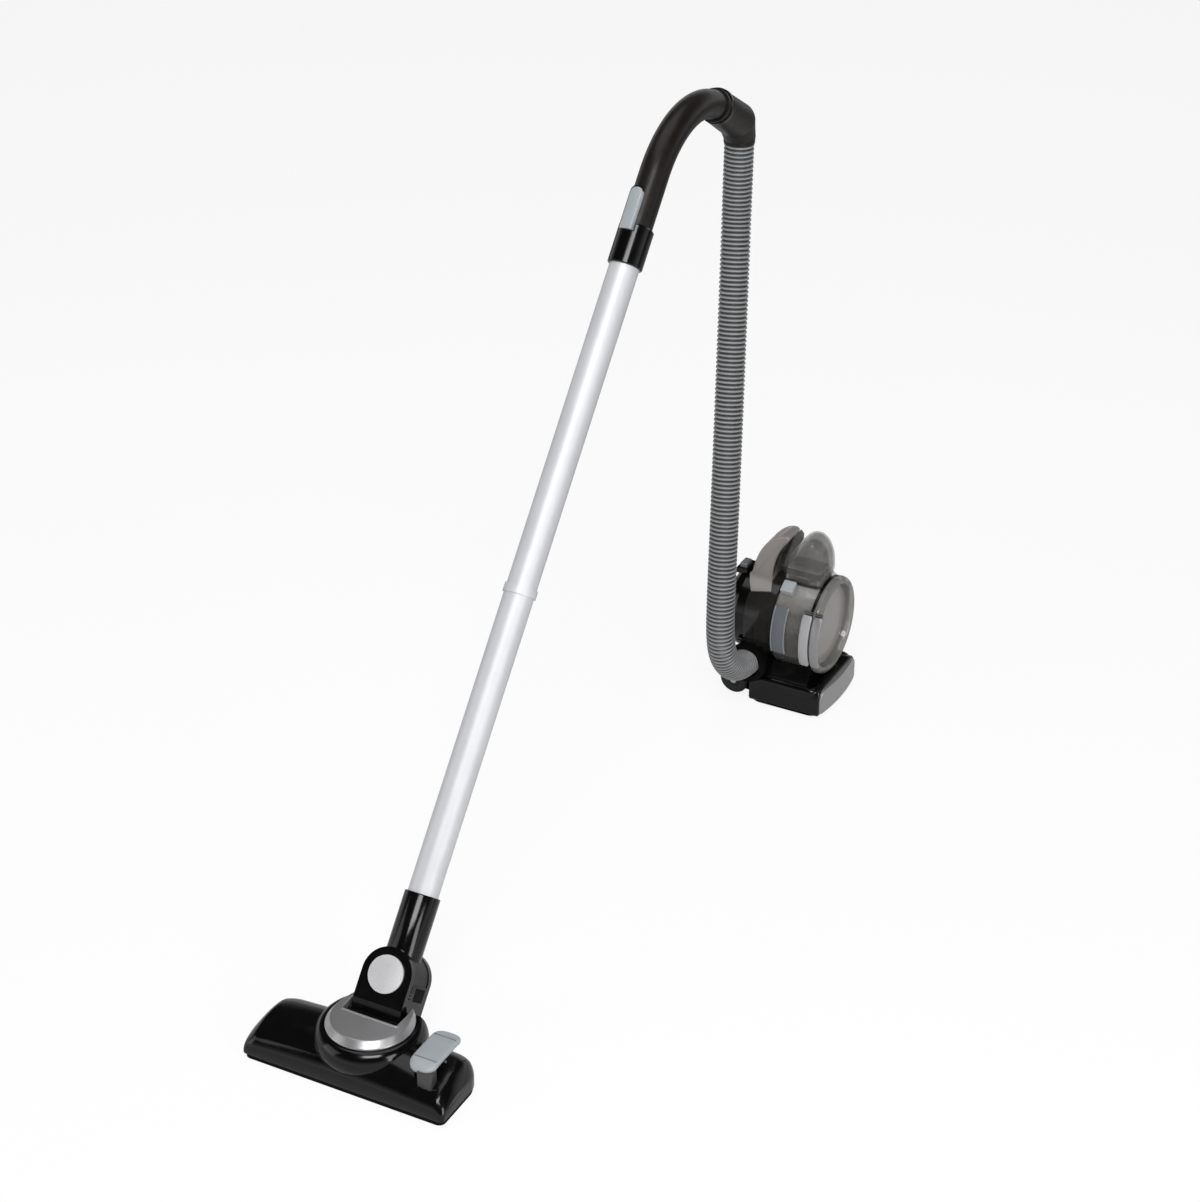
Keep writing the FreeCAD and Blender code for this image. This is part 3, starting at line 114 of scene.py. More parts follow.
class StageSettings(bpy.types.PropertyGroup):
    camera_place: FloatVectorProperty(
        name="Camera place", description="Where the camera stands", size=3, subtype="TRANSLATION",
        unit="LENGTH", default=(1.37075, -2.53325, 2.008))
    camera_azimuth: FloatProperty(
        name="Camera azimuth", description="Heading of the view, from +Y towards -X", subtype="ANGLE",
        default=math.radians(28.0))
    camera_pitch: FloatProperty(
        name="Camera pitch", description="How far the view looks down", subtype="ANGLE",
        default=math.radians(30.0))
    lens: FloatProperty(
        name="Lens", description="Focal length in millimetres on a 36 mm sensor", default=86.61)
    key_power: FloatProperty(
        name="Key power", description="Power of the soft box in front", unit="POWER", default=60.0)
    fill_power: FloatProperty(
        name="Fill power", description="Power of the fill light on the right", unit="POWER", default=30.0)
    ceiling: FloatProperty(
        name="Ceiling", description="Brightness of the surroundings overhead", min=0.0, max=1.0,
        default=0.045)
    surround: FloatProperty(
        name="Surroundings", description="Share of the surroundings that lights the object", min=0.0,
        max=1.0, default=0.55)
    floor_colour: swatch("Floor colour", "Colour of the floor", (0.86, 0.86, 0.86))


class FinishSettings(bpy.types.PropertyGroup):
    black: swatch("Black plastic", "Glossy black housings", (0.0021, 0.0019, 0.0018))
    handle_black: swatch("Handle black", "Satin black of the handle", (0.0075, 0.0058, 0.005))
    silver: swatch("Silver", "Silver paint", (0.42, 0.42, 0.43))
    tube: swatch("Tube", "Satin aluminium", (0.64, 0.65, 0.672))
    light_grey: swatch("Light grey", "Buttons and pedal", (0.36, 0.385, 0.41))
    hose: swatch("Hose", "Grey hose", (0.215, 0.22, 0.225))
    smoke: swatch("Smoke", "Smoky clear plastic", (0.20, 0.192, 0.18))


class HoseSettings(bpy.types.PropertyGroup):
    pitch: FloatProperty(
        name="Rib pitch", description="Distance from rib to rib", unit="LENGTH", default=0.0055)
    crest: FloatProperty(
        name="Crest radius", description="Outer radius of a rib", unit="LENGTH", default=0.01825)
    groove: FloatProperty(
        name="Groove radius", description="Radius between two ribs", unit="LENGTH", default=0.0154)
    sides: IntProperty(name="Sides", description="Points round the hose", default=44, min=12, max=96)


# ---------------- meshes from arrays

def linked(name, mesh, crease=None):
    """Smooth object for a mesh, at the origin. An edge stays sharp from an angle of crease degrees."""
    mesh.shade_smooth()
    if crease:
        mesh.set_sharp_from_angle(angle=math.radians(crease))
    piece = bpy.data.objects.new(name, mesh)
    bpy.context.collection.objects.link(piece)
    return piece


def mesh_object(name, points, faces):
    mesh = bpy.data.meshes.new(name)
    mesh.from_pydata(points.tolist(), [], faces)
    mesh.update()
    return linked(name, mesh)


def closed_mesh(name, grids, crease=32.0):
    """Object from several grids, doubles merged, holes at the grids' first and last rows filled.

    A grid is (points [rows, columns, xyz], close_rows, hollow). Its columns always close round.
    close_rows joins the last row to the first; otherwise each end row becomes one face, or a pole
    where its points meet. A hollow grid is turned inside out, as the inner wall of a shell.
    """
    mesh = bpy.data.meshes.new(name)
    build = bmesh.new()
    for points, close_rows, hollow in grids:
        part = bmesh.new()
        rows, columns = points.shape[:2]
        corners = [part.verts.new(point) for point in points.reshape(-1, 3).tolist()]
        index = np.arange(rows * columns).reshape(rows, columns)
        here = index if close_rows else index[:-1]
        above = np.roll(index, -1, 0) if close_rows else index[1:]
        quads = np.stack([here, above, np.roll(above, -1, 1), np.roll(here, -1, 1)], -1).reshape(-1, 4)
        for quad in quads.tolist():
            part.faces.new([corners[number] for number in quad])
        if not close_rows:
            for row in (index[0], index[-1]):
                part.faces.new([corners[number] for number in row.tolist()])
        bmesh.ops.remove_doubles(part, verts=part.verts, dist=2e-6)
        bmesh.ops.dissolve_degenerate(part, edges=part.edges, dist=1e-6)
        bmesh.ops.recalc_face_normals(part, faces=part.faces)
        if hollow:
            bmesh.ops.reverse_faces(part, faces=part.faces)
        part.to_mesh(mesh)
        part.free()
        build.from_mesh(mesh)
    build.to_mesh(mesh)
    build.free()
    return linked(name, mesh, crease)


def solid(name, points, crease=32.0):
    """Object from one grid of points, closed at its first and last rows."""
    return closed_mesh(name, [(points, False, False)], crease)


def tube_surface(name, points):
    """Closed tube from a grid of points [row, column, xyz]; each end row becomes one face."""
    rows, columns = points.shape[:2]
    index = np.arange(rows * columns).reshape(rows, columns)
    corners = [index[:-1], index[1:], np.roll(index[1:], -1, 1), np.roll(index[:-1], -1, 1)]
    faces = np.stack(corners, -1).reshape(-1, 4).tolist()
    return mesh_object(name, points.reshape(-1, 3), faces + [index[0].tolist(), index[-1, ::-1].tolist()])


def unit(vectors):
    return vectors / np.linalg.norm(vectors, axis=-1, keepdims=True)


def swept(path, radii, side, sides):
    """Tube along a path: point = path + radius (cos a * side + sin a * up), up = tangent x side.

    path is [n, 3], radii [n], and side a direction kept square to the tangent all the way.
    """
    tangent = unit(np.gradient(path, axis=0))
    across = unit(side - tangent * (tangent @ side)[:, None])
    up = np.cross(tangent, across)
    angle = np.linspace(0, 2 * np.pi, sides, endpoint=False)
    ring = np.cos(angle)[None, :, None] * across[:, None] + np.sin(angle)[None, :, None] * up[:, None]
    return path[:, None] + ring * radii[:, None, None]


def rounded_outline(corners, radii, steps=7):
    """Closed outline through rounded corners.

    A and B lie a radius before and after corner C, and the curve between them is
    (1 - t)^2 A + 2 t (1 - t) C + t^2 B.
    """
    corners = np.asarray(corners, float)
    radii = np.broadcast_to(np.asarray(radii, float), len(corners))[:, None]
    start = corners + unit(np.roll(corners, 1, 0) - corners) * radii
    end = corners + unit(np.roll(corners, -1, 0) - corners) * radii
    t = np.linspace(0.0, 1.0, steps)[None, :, None]
    curve = (1 - t) ** 2 * start[:, None] + 2 * t * (1 - t) * corners[:, None] + t ** 2 * end[:, None]
    return curve.reshape(-1, 2)


def box(low_u, low_v, high_u, high_v, radii, steps):
    """Rounded outline of a rectangle between two corners."""
    return rounded_outline([(low_u, low_v), (high_u, low_v), (high_u, high_v), (low_u, high_v)], radii, steps)


def smooth_outline(corners, count=96):
    """Closed outline of even steps through the given points: the periodic Catmull-Rom curve.

    Between points B and C, with A before and D after, point =
    (2 B + (C - A) t + (2 A - 5 B + 4 C - D) t^2 + (3 B - A - 3 C + D) t^3) / 2.
    """
    b = np.asarray(corners, float)
    a, c, d = np.roll(b, 1, 0), np.roll(b, -1, 0), np.roll(b, -2, 0)
    t = np.linspace(0.0, 1.0, 12, endpoint=False)[None, :, None]
    a, b, c, d = (grid[:, None] for grid in (a, b, c, d))
    square, cube = 2 * a - 5 * b + 4 * c - d, 3 * b - a - 3 * c + d
    curve = (2 * b + (c - a) * t + square * t ** 2 + cube * t ** 3) / 2
    return even_steps(curve.reshape(-1, 2), count)


def even_steps(outline, count):
    """The same closed outline in count even steps."""
    loop = np.concatenate([outline, outline[:1]])
    reach = np.concatenate([[0.0], np.cumsum(np.linalg.norm(np.diff(loop, axis=0), axis=1))])
    steps = np.linspace(0.0, reach[-1], count, endpoint=False)
    return np.stack([np.interp(steps, reach, loop[:, axis]) for axis in range(2)], 1)


def inset(outline, distance):
    """Closed outline drawn in by a distance along its own normals."""
    ahead = unit(np.roll(outline, -1, 0) - outline)
    behind = unit(outline - np.roll(outline, 1, 0))
    along_edge = unit(ahead + behind)
    normal = np.stack([-along_edge[:, 1], along_edge[:, 0]], 1)
    area = np.sum(outline[:, 0] * np.roll(outline[:, 1], -1) - outline[:, 1] * np.roll(outline[:, 0], -1))
    miter = 1.0 / np.clip((along_edge * ahead).sum(1, keepdims=True), 0.5, 1.0)
    return outline + normal * distance * miter * np.sign(area)


def level(flat):
    """No rise anywhere."""
    return np.zeros(len(flat))


def slab_rings(outline, bottom, top, edge, rise=level, rows=6, crown_rows=0):
    """Rings [n, m, 3] of a rounded slab in its own u, v, height.

    The edge is a quarter circle: inset = edge (1 - sin a), and the height is edge (1 - cos a) above the
    bottom or below the top. rise is added to the top's height at each u, v. crown_rows further rings
    shrink the top to its middle.
    """
    angle = np.linspace(0.0, np.pi / 2, rows)
    curve = list(zip(edge * (1 - np.sin(angle)), edge * (1 - np.cos(angle))))
    rings = [(inset(outline, drawn_in), bottom + depth, 0.0) for drawn_in, depth in curve]
    rings += [(inset(outline, drawn_in), top - depth, 1.0) for drawn_in, depth in reversed(curve)]
    last = rings[-1][0]
    centre = last.mean(0)
    rings += [(centre + (last - centre) * share, top, 1.0)
              for share in np.linspace(1.0, 0.02, crown_rows + 1)[1:]]
    return np.stack([np.column_stack([flat, np.full(len(flat), height) + share * rise(flat)])
                     for flat, height, share in rings])


def placed(points, origin, u_axis, v_axis):
    """Points from their own u, v, height (millimetres) to the object's frame (metres)."""
    turn = np.stack([u_axis, v_axis, np.cross(u_axis, v_axis)])
    return np.asarray(origin) + points * MM @ turn


def slab(name, outline, bottom, top, edge, place, rise=level, crown_rows=0, crease=32.0, rows=6):
    """Closed slab of an outline between two heights, its edges rounded."""
    return solid(name, placed(slab_rings(outline, bottom, top, edge, rise, rows, crown_rows), *place), crease)


def shell_slab(name, outline, bottom, top, edge, wall, place):
    """Hollow slab: a rounded slab and, a wall's thickness inside it, the same form turned inwards."""
    outer = slab_rings(outline, bottom, top, edge)
    inner = slab_rings(inset(outline, wall), bottom + wall, top - wall, max(edge - wall / 2, 0.5))
    return closed_mesh(name, [(placed(outer, *place), False, False), (placed(inner, *place), False, True)])


def turned(name, profile, origin, axis, side, loop=False, sides=72):
    """Turned form: point = origin + distance * axis + radius (cos a * side + sin a * up).

    profile is [n, 2] of radius and distance in millimetres. A loop profile closes on itself, as a
    ring's does; else its ends close as discs.
    """
    profile = np.asarray(profile, float) * MM
    axis = unit(axis)
    side = unit(side - axis * (axis @ side))
    angle = np.linspace(0.0, 2 * np.pi, sides, endpoint=False)[None, :, None]
    ring = np.cos(angle) * side + np.sin(angle) * np.cross(axis, side)
    points = np.asarray(origin) + profile[:, 1, None, None] * axis + profile[:, 0, None, None] * ring
    return closed_mesh(name, [(points, loop, False)])


def carved(piece, *cutters):
    """Cut the cutters out of a piece, apply its modifiers and remove the cutters."""
    for cutter in cutters:
        step = piece.modifiers.new("cut", "BOOLEAN")
        step.operation = "DIFFERENCE"
        step.solver = "MANIFOLD"
        step.object = cutter
    graph = bpy.context.evaluated_depsgraph_get()
    mesh = bpy.data.meshes.new_from_object(piece.evaluated_get(graph))
    piece.modifiers.clear()
    piece.data = mesh
    for cutter in cutters:
        bpy.data.objects.remove(cutter)


def finish_piece(piece, body, slot, *nodes, finish=None):
    """Give a piece its body and the material of its record slot, and hide the nodes that it stands for.

    The material is the slot's own, unless a finish names another.
    """
    piece.data.materials.clear()
    piece.data.materials.append(MATERIALS[finish or slot])
    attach(piece, body)
    if nodes:
        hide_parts(*nodes)


# ---------------- materials

def new_material(name):
    """Empty material with a Principled shader, ready for links."""
    material = bpy.data.materials.new(name)
    material.use_nodes = True
    shader = material.node_tree.nodes["Principled BSDF"]
    return material, material.node_tree, shader


def set_sockets(node, **values):
    """Set a node's sockets by name, with underscores for spaces."""
    for name, value in values.items():
        node.inputs[name.replace("_", " ")].default_value = value


def noise(tree, scale, detail=3.0, stretch=(1.0, 1.0, 1.0)):
    """Noise on Object coordinates, stretched by a Mapping node."""
    place = tree.nodes.new("ShaderNodeTexCoord")
    mapping = tree.nodes.new("ShaderNodeMapping")
    set_sockets(mapping, Scale=stretch)
    texture = tree.nodes.new("ShaderNodeTexNoise")
    set_sockets(texture, Scale=scale, Detail=detail)
    tree.links.new(place.outputs["Object"], mapping.inputs["Vector"])
    tree.links.new(mapping.outputs["Vector"], texture.inputs["Vector"])
    return texture.outputs["Fac"]


def ramp(tree, factor, *stops):
    """Colour ramp with (position, colour) stops."""
    node = tree.nodes.new("ShaderNodeValToRGB")
    elements = node.color_ramp.elements
    elements.remove(elements[1])
    for number, (position, colour) in enumerate(stops):
        element = elements.new(position) if number else elements[0]
        element.position = position
        element.color = (*colour, 1.0)
    tree.links.new(factor, node.inputs["Fac"])
    return node.outputs["Color"]


def shades(colour, *stops):
    """Ramp stops of one colour, from (position, factor) pairs."""
    return [(position, scaled(colour, factor)) for position, factor in stops]


def grey(value):
    return (value, value, value)


def scaled(colour, factor):
    return tuple(min(1.0, channel * factor) for channel in colour)


def add_bump(tree, shader, cloud, strength, distance):
    """Bump from a noise of the cloud's scale, detail and stretch."""
    bump = tree.nodes.new("ShaderNodeBump")
    set_sockets(bump, Strength=strength, Distance=distance)
    tree.links.new(noise(tree, *cloud), bump.inputs["Height"])
    tree.links.new(bump.outputs["Normal"], shader.inputs["Normal"])


def clouded(name, stops, cloud, sheen=None, bump=None, **sockets):
    """Principled material whose colour follows a noise through ramp stops.

    cloud holds the noise's scale, detail and stretch. sheen is a noise with (position, roughness)
    stops, and bump a noise with strength and distance. Sockets are set by name.
    """
    material, tree, shader = new_material(name)
    tree.links.new(ramp(tree, noise(tree, *cloud), *stops), shader.inputs["Base Color"])
    set_sockets(shader, **sockets)
    if sheen:
        levels = [(position, grey(value)) for position, value in sheen[1:]]
        tree.links.new(ramp(tree, noise(tree, *sheen[0]), *levels), shader.inputs["Roughness"])
    if bump:
        add_bump(tree, shader, *bump)
    return material


def gloss_black(colour):
    """Polished black plastic with a faint ripple and fine dust in its roughness."""
    return clouded("gloss black plastic", shades(colour, (0.3, 1.0), (0.7, 1.35)), (30.0,),
                   sheen=((60.0, 5.0), (0.3, 0.1), (0.75, 0.19)), bump=((9.0, 1.0), 0.12, 0.0006),
                   Specular_IOR_Level=0.33)


def satin_black(colour):
    """Fine-grained satin black plastic."""
    return clouded("satin black plastic", shades(colour, (0.3, 1.0), (0.7, 1.4)), (45.0,),
                   sheen=((120.0, 4.0), (0.3, 0.3), (0.7, 0.4)), bump=((900.0, 2.0), 0.12, 0.0002),
                   Specular_IOR_Level=0.24)


def matte_black(colour):
    """Dull, grainy black plastic, darker than the satin: painted shade for recesses."""
    return clouded("matte black plastic", shades(colour, (0.3, 1.6), (0.7, 2.4)), (50.0,),
                   bump=((1400.0, 2.0), 0.25, 0.0002), Roughness=0.6, Specular_IOR_Level=0.05)


def silver_paint(colour, name="silver paint", metallic=0.55):
    """Metallic paint: fine flakes in the colour under a soft coat."""
    return clouded(name, shades(colour, (0.35, 0.9), (0.65, 1.12)), (1500.0, 1.0),
                   bump=((1500.0, 1.0), 0.05, 0.0001), Metallic=metallic, Roughness=0.34, Coat_Weight=0.15,
                   Coat_Roughness=0.25)


def satin_tube(colour):
    """Satin aluminium with faint draw lines along the tube and cloudy wear."""
    return clouded("satin aluminium", shades(colour, (0.3, 0.96), (0.7, 1.03)), (18.0, 5.0),
                   sheen=((260.0, 3.0, (9.0, 0.25, 0.25)), (0.3, 0.5), (0.7, 0.6)),
                   bump=((700.0, 3.0), 0.1, 0.0002), Metallic=0.5)


def moulded_grey(colour):
    """Grey moulded plastic with a soft sheen."""
    return clouded("light grey plastic", shades(colour, (0.3, 0.97), (0.7, 1.04)), (70.0, 4.0),
                   bump=((1100.0, 2.0), 0.08, 0.0002), Roughness=0.33)


def hose_plastic(colour):
    """Grey hose plastic with painted light: a painted highlight on the crests and painted shade in the grooves, by
    the piece's rib attribute.
    """
    material, tree, shader = new_material("hose plastic")
    attribute = tree.nodes.new("ShaderNodeAttribute")
    attribute.attribute_name = "rib"
    # painted shade in the grooves (rib 0) up to a painted highlight on the crests (rib 1)
    stops = shades(colour, (0.0, 0.12), (0.5, 0.28), (0.84, 0.75), (1.0, 1.45))
    tree.links.new(ramp(tree, attribute.outputs["Fac"], *stops), shader.inputs["Base Color"])
    set_sockets(shader, Roughness=0.36)
    add_bump(tree, shader, (500.0, 2.0), 0.06, 0.0002)
    return material


def height_range(tree, space, **limits):
    """Map Range node over the Z of a coordinate space."""
    place = tree.nodes.new("ShaderNodeTexCoord")
    split = tree.nodes.new("ShaderNodeSeparateXYZ")
    tree.links.new(place.outputs[space], split.inputs["Vector"])
    node = tree.nodes.new("ShaderNodeMapRange")
    set_sockets(node, **limits)
    tree.links.new(split.outputs["Z"], node.inputs["Value"])
    return node


CLEAR_IOR = 1.49
CLEAR_BUMP = ((12.0, 2.0), 0.1, 0.0008)


def smoky_clear(name, colour, roughness=0.06, alpha=0.5):
    """Smoky clear plastic: part of the light passes straight through, the rest meets a tinted gloss."""
    return clouded(name, shades(colour, (0.3, 0.93), (0.7, 1.07)), (16.0,), bump=CLEAR_BUMP,
                   Roughness=roughness, Alpha=alpha, IOR=CLEAR_IOR)


def cup_plastic(colour):
    """Smoky clear plastic of the cup, with painted shade low down and painted light growing towards its top."""
    material, tree, shader = new_material("cup plastic")
    height = height_range(tree, "Object", From_Min=DRUM_Z - 0.045, From_Max=DRUM_Z + 0.062)
    # painted shade low on the cup, up to painted light at its top
    stops = shades(colour, (0.0, 0.5), (0.45, 0.62), (0.72, 0.9), (1.0, 2.7))
    tree.links.new(ramp(tree, height.outputs["Result"], *stops), shader.inputs["Base Color"])
    set_sockets(shader, Roughness=0.07, Alpha=0.5, IOR=CLEAR_IOR)
    add_bump(tree, shader, *CLEAR_BUMP)
    return material


def grey_clouds(name, dark, pale, cloud, **more):
    """Material in grey, clouded between a dark and a pale value."""
    return clouded(name, [(0.3, grey(dark)), (0.7, grey(pale))], cloud, **more)


BRISTLE_STRANDS = (800.0, 3.0, (1.0, 1.0, 0.05))
MATERIALS = {}


def make_materials(finish):
    """Fill MATERIALS: the record's slots, and finishes of single pieces."""
    smoke, silver, light_grey = tuple(finish.smoke), tuple(finish.silver), tuple(finish.light_grey)
    MATERIALS.update({
        "black_gloss": gloss_black(tuple(finish.black)),
        "black_satin": satin_black(tuple(finish.handle_black)),
        "black_matte": matte_black(tuple(finish.black)),
        "silver": silver_paint(silver),
        "crescent_silver": silver_paint(scaled(silver, 0.9), "crescent paint", 0.75),
        "disc_silver": silver_paint(scaled(silver, 1.6), "disc paint", 0.35),
        "plate_silver": silver_paint(scaled(silver, 0.8), "plate paint"),
        "latch_silver": silver_paint(scaled(silver, 0.95), "latch paint", 0.2),
        "catch_silver": silver_paint(scaled(silver, 0.7), "catch paint"),
        "aluminium": satin_tube(tuple(finish.tube)),
        "grey_light": moulded_grey(light_grey),
        "line_grey": moulded_grey(scaled(light_grey, 0.5)),
        "stem_grey": moulded_grey((0.045, 0.045, 0.044)),
        "hose": hose_plastic(tuple(finish.hose)),
        "smoke": smoky_clear("smoky clear plastic", scaled(smoke, 0.35)),
        "cover_smoke": smoky_clear("cover plastic", scaled(smoke, 0.11), alpha=0.72),
        "cup_smoke": cup_plastic(smoke),
        "clear": smoky_clear("lightly smoked clear plastic", scaled(smoke, 1.15), alpha=0.7),
        "blade_smoke": smoky_clear("carry handle plastic", (0.31, 0.285, 0.268), roughness=0.16, alpha=0.8),
        # a darker copy of the smoke for the carry handle's inner face: painted shade
        "inner_shade_smoke": smoky_clear("inner face plastic", scaled(smoke, 0.38), roughness=0.2, alpha=0.8),
        "hood_smoke": smoky_clear("hood plastic", scaled(smoke, 0.72), alpha=0.38),
        "core_smoke": smoky_clear("core plastic", scaled(smoke, 0.45), roughness=0.1, alpha=0.4),
        "ledge_smoke": smoky_clear("ledge plastic", (0.42, 0.41, 0.36), alpha=0.8),
        "strap_smoke": smoky_clear("strap plastic", (0.16, 0.175, 0.192), roughness=0.2, alpha=0.75),
        "edge_smoke": smoky_clear("strap edge plastic", (0.30, 0.32, 0.335), roughness=0.1, alpha=0.85),
        "window_smoke": smoky_clear("window plastic", (0.40, 0.38, 0.36), roughness=0.22, alpha=0.75),
        "dark_chrome": grey_clouds("dark chrome", 0.14, 0.2, (80.0, 2.0), Metallic=1.0, Roughness=0.12),
        "rubber_black": grey_clouds("black rubber", 0.006, 0.011, (90.0,),
                                    bump=((900.0, 2.0), 0.2, 0.0002), Roughness=0.62),
        "steel": grey_clouds("brushed steel", 0.42, 0.55, (300.0, 3.0, (0.2, 1.0, 1.0)), Metallic=1.0,
                             Roughness=0.35),
        "filter": clouded("filter felt", [(0.3, (0.45, 0.44, 0.4)), (0.7, (0.62, 0.61, 0.57))],
                          (400.0, 6.0), bump=((700.0, 5.0), 0.5, 0.0006), Roughness=0.9),
        "bristle": clouded("dark bristle", [(0.35, grey(0.01)), (0.65, grey(0.06))], BRISTLE_STRANDS,
                           bump=(BRISTLE_STRANDS, 0.6, 0.0008), Roughness=0.7),
    })


def cad_finish(*nodes, finish=None):
    """Put a material on CAD nodes, by their own slot unless a finish is named."""
    slots = {row["node"]: row["material_slot"] for row in frame["record"]["subparts"]}
    for name in nodes:
        piece = NODES[name]
        chosen = MATERIALS[finish or slots[name]]
        if not piece.material_slots:
            piece.data.materials.append(chosen)
        for place in piece.material_slots:
            place.material = chosen


class VACUUM_OT_frame_finish(bpy.types.Operator):
    """Give every construction node its finish"""
    bl_idname = "vacuum.frame_finish"
    bl_label = "Frame finishes"

    def execute(self, context):
        make_materials(context.scene.finish_settings)
        cad_finish(*NODES)
        cad_finish("motor_cover", finish="cover_smoke")
        cad_finish("cup_shell", finish="cup_smoke")
        cad_finish("power_button", finish="line_grey")
        return {"FINISHED"}


# ---------------- hose

HOSE_ROUTE = [
    (-0.01275, 0.42305, 0.7590),
    (-0.01275, 0.4210, 0.6915),
    (-0.00575, 0.40425, 0.6220),
    (0.00525, 0.37695, 0.5090),
    (0.01625, 0.34945, 0.3985),
    (0.02425, 0.32815, 0.2870),
    (0.02725, 0.31805, 0.2060),
    (0.02805, 0.31575, 0.1260),
    (0.02845, 0.34075, 0.0827),
    (0.02875, 0.38405, 0.0575),
    (0.02875, 0.4440, 0.0575),
]


def spline_points(route, steps=40):
    """Points along a NURBS spline of order 3 through its end points, evenly spread along it."""
    curve = bpy.data.curves.new("hose line", "CURVE")
    curve.dimensions = "3D"
    curve.resolution_u = steps
    spline = curve.splines.new("NURBS")
    spline.points.add(len(route) - 1)
    for point, place in zip(spline.points, route):
        point.co = (*place, 1.0)
    spline.order_u = 3
    spline.use_endpoint_u = True
    holder = bpy.data.objects.new("hose line", curve)
    bpy.context.collection.objects.link(holder)
    mesh = bpy.data.meshes.new_from_object(holder)
    points = np.empty(len(mesh.vertices) * 3)
    mesh.vertices.foreach_get("co", points)
    points = points.reshape(-1, 3)
    bpy.data.meshes.remove(mesh)
    bpy.data.objects.remove(holder)
    bpy.data.curves.remove(curve)
    return points


def along(points, distances):
    """Points at given distances along a polyline."""
    steps = np.concatenate([[0.0], np.cumsum(np.linalg.norm(np.diff(points, axis=0), axis=1))])
    return np.stack([np.interp(distances, steps, points[:, axis]) for axis in range(3)], 1), steps[-1]


class VACUUM_OT_hose(bpy.types.Operator):
    """Ribbed hose on its route from the elbow to the inlet"""
    bl_idname = "vacuum.hose"
    bl_label = "Hose"

    def execute(self, context):
        size = context.scene.hose_settings
        line = spline_points(HOSE_ROUTE)
        length = along(line, [0.0])[1]
        ribs = round(length / size.pitch)
        rows_per_rib = 10
        distance = np.linspace(0.0, length, ribs * rows_per_rib + 1)
        path = along(line, distance)[0]
        # radius = groove + (crest - groove) * (half wave of the pitch) ^ 0.8: round crest, narrow groove
        wave = np.abs(np.sin(np.pi * distance * ribs / length)) ** 0.8
        radii = size.groove + (size.crest - size.groove) * wave
        hose = tube_surface("hose_ribs", swept(path, radii, X_AXIS, size.sides))
        # the rib wave also sets the hose's colour: painted highlight on the crests, painted shade in the grooves
        rib = hose.data.attributes.new("rib", "FLOAT", "POINT")
        rib.data.foreach_set("value", np.repeat(wave, size.sides).astype(np.float32))
        finish_piece(hose, "canister", "hose", "hose")
        return {"FINISHED"}


# ---------------- stage

class VACUUM_OT_stage(bpy.types.Operator):
    """Pale floor, soft lights and the camera"""
    bl_idname = "vacuum.stage"
    bl_label = "Stage"

    def execute(self, context):
        stage = context.scene.stage_settings
        make_floor(stage)
        make_lights(stage)
        make_camera(stage)
        context.scene.view_settings.view_transform = "Standard"
        return {"FINISHED"}


def combined(tree, operation, *values):
    """Math node over two values, each a socket or a number."""
    node = tree.nodes.new("ShaderNodeMath")
    node.operation = operation
    for socket, value in zip(node.inputs, values):
        if isinstance(value, float):
            socket.default_value = value
        else:
            tree.links.new(value, socket)
    return node.outputs[0]


WHITE = (1.0, 1.0, 1.0, 1.0)
FLOOR_HALF = 14.0
FLOOR_DROP = 0.0004
GLOW_STRENGTH = 1.03
GLOW_SHARE = 0.86


def make_floor(stage):
    """Flat floor that keeps the shadow. Seen by the camera or through clear plastic it's near white."""
    material, tree, shader = new_material("pale floor")
    pale = tuple(stage.floor_colour)
    tree.links.new(ramp(tree, noise(tree, 3.0, 2.0), *shades(pale, (0.3, 1.0), (0.7, 1.01))),
                   shader.inputs["Base Color"])
    set_sockets(shader, Roughness=0.85)
    rays = tree.nodes.new("ShaderNodeLightPath").outputs
    seen = combined(tree, "MAXIMUM", rays["Is Camera Ray"], rays["Is Transmission Ray"])
    glow = tree.nodes.new("ShaderNodeEmission")
    set_sockets(glow, Color=WHITE, Strength=GLOW_STRENGTH)
    mix = tree.nodes.new("ShaderNodeMixShader")
    tree.links.new(combined(tree, "MULTIPLY", seen, GLOW_SHARE), mix.inputs["Fac"])
    tree.links.new(shader.outputs["BSDF"], mix.inputs[1])
    tree.links.new(glow.outputs["Emission"], mix.inputs[2])
    tree.links.new(mix.outputs["Shader"], tree.nodes["Material Output"].inputs["Surface"])
    corners = np.array([[-1, -1], [1, -1], [1, 1], [-1, 1]]) * FLOOR_HALF
    floor = mesh_object("floor", np.column_stack([corners, np.full(4, FLOOR - FLOOR_DROP)]), [[0, 1, 2, 3]])
    floor.data.materials.append(material)


def area_light(name, place, target, width, height, power):
    light = bpy.data.lights.new(name, "AREA")
    light.shape = "RECTANGLE"
    light.size = width
    light.size_y = height
    light.energy = power
    lamp = bpy.data.objects.new(name, light)
    lamp.location = place
    lamp.rotation_euler = (Vector(target) - Vector(place)).to_track_quat("-Z", "Y").to_euler()
    bpy.context.collection.objects.link(lamp)


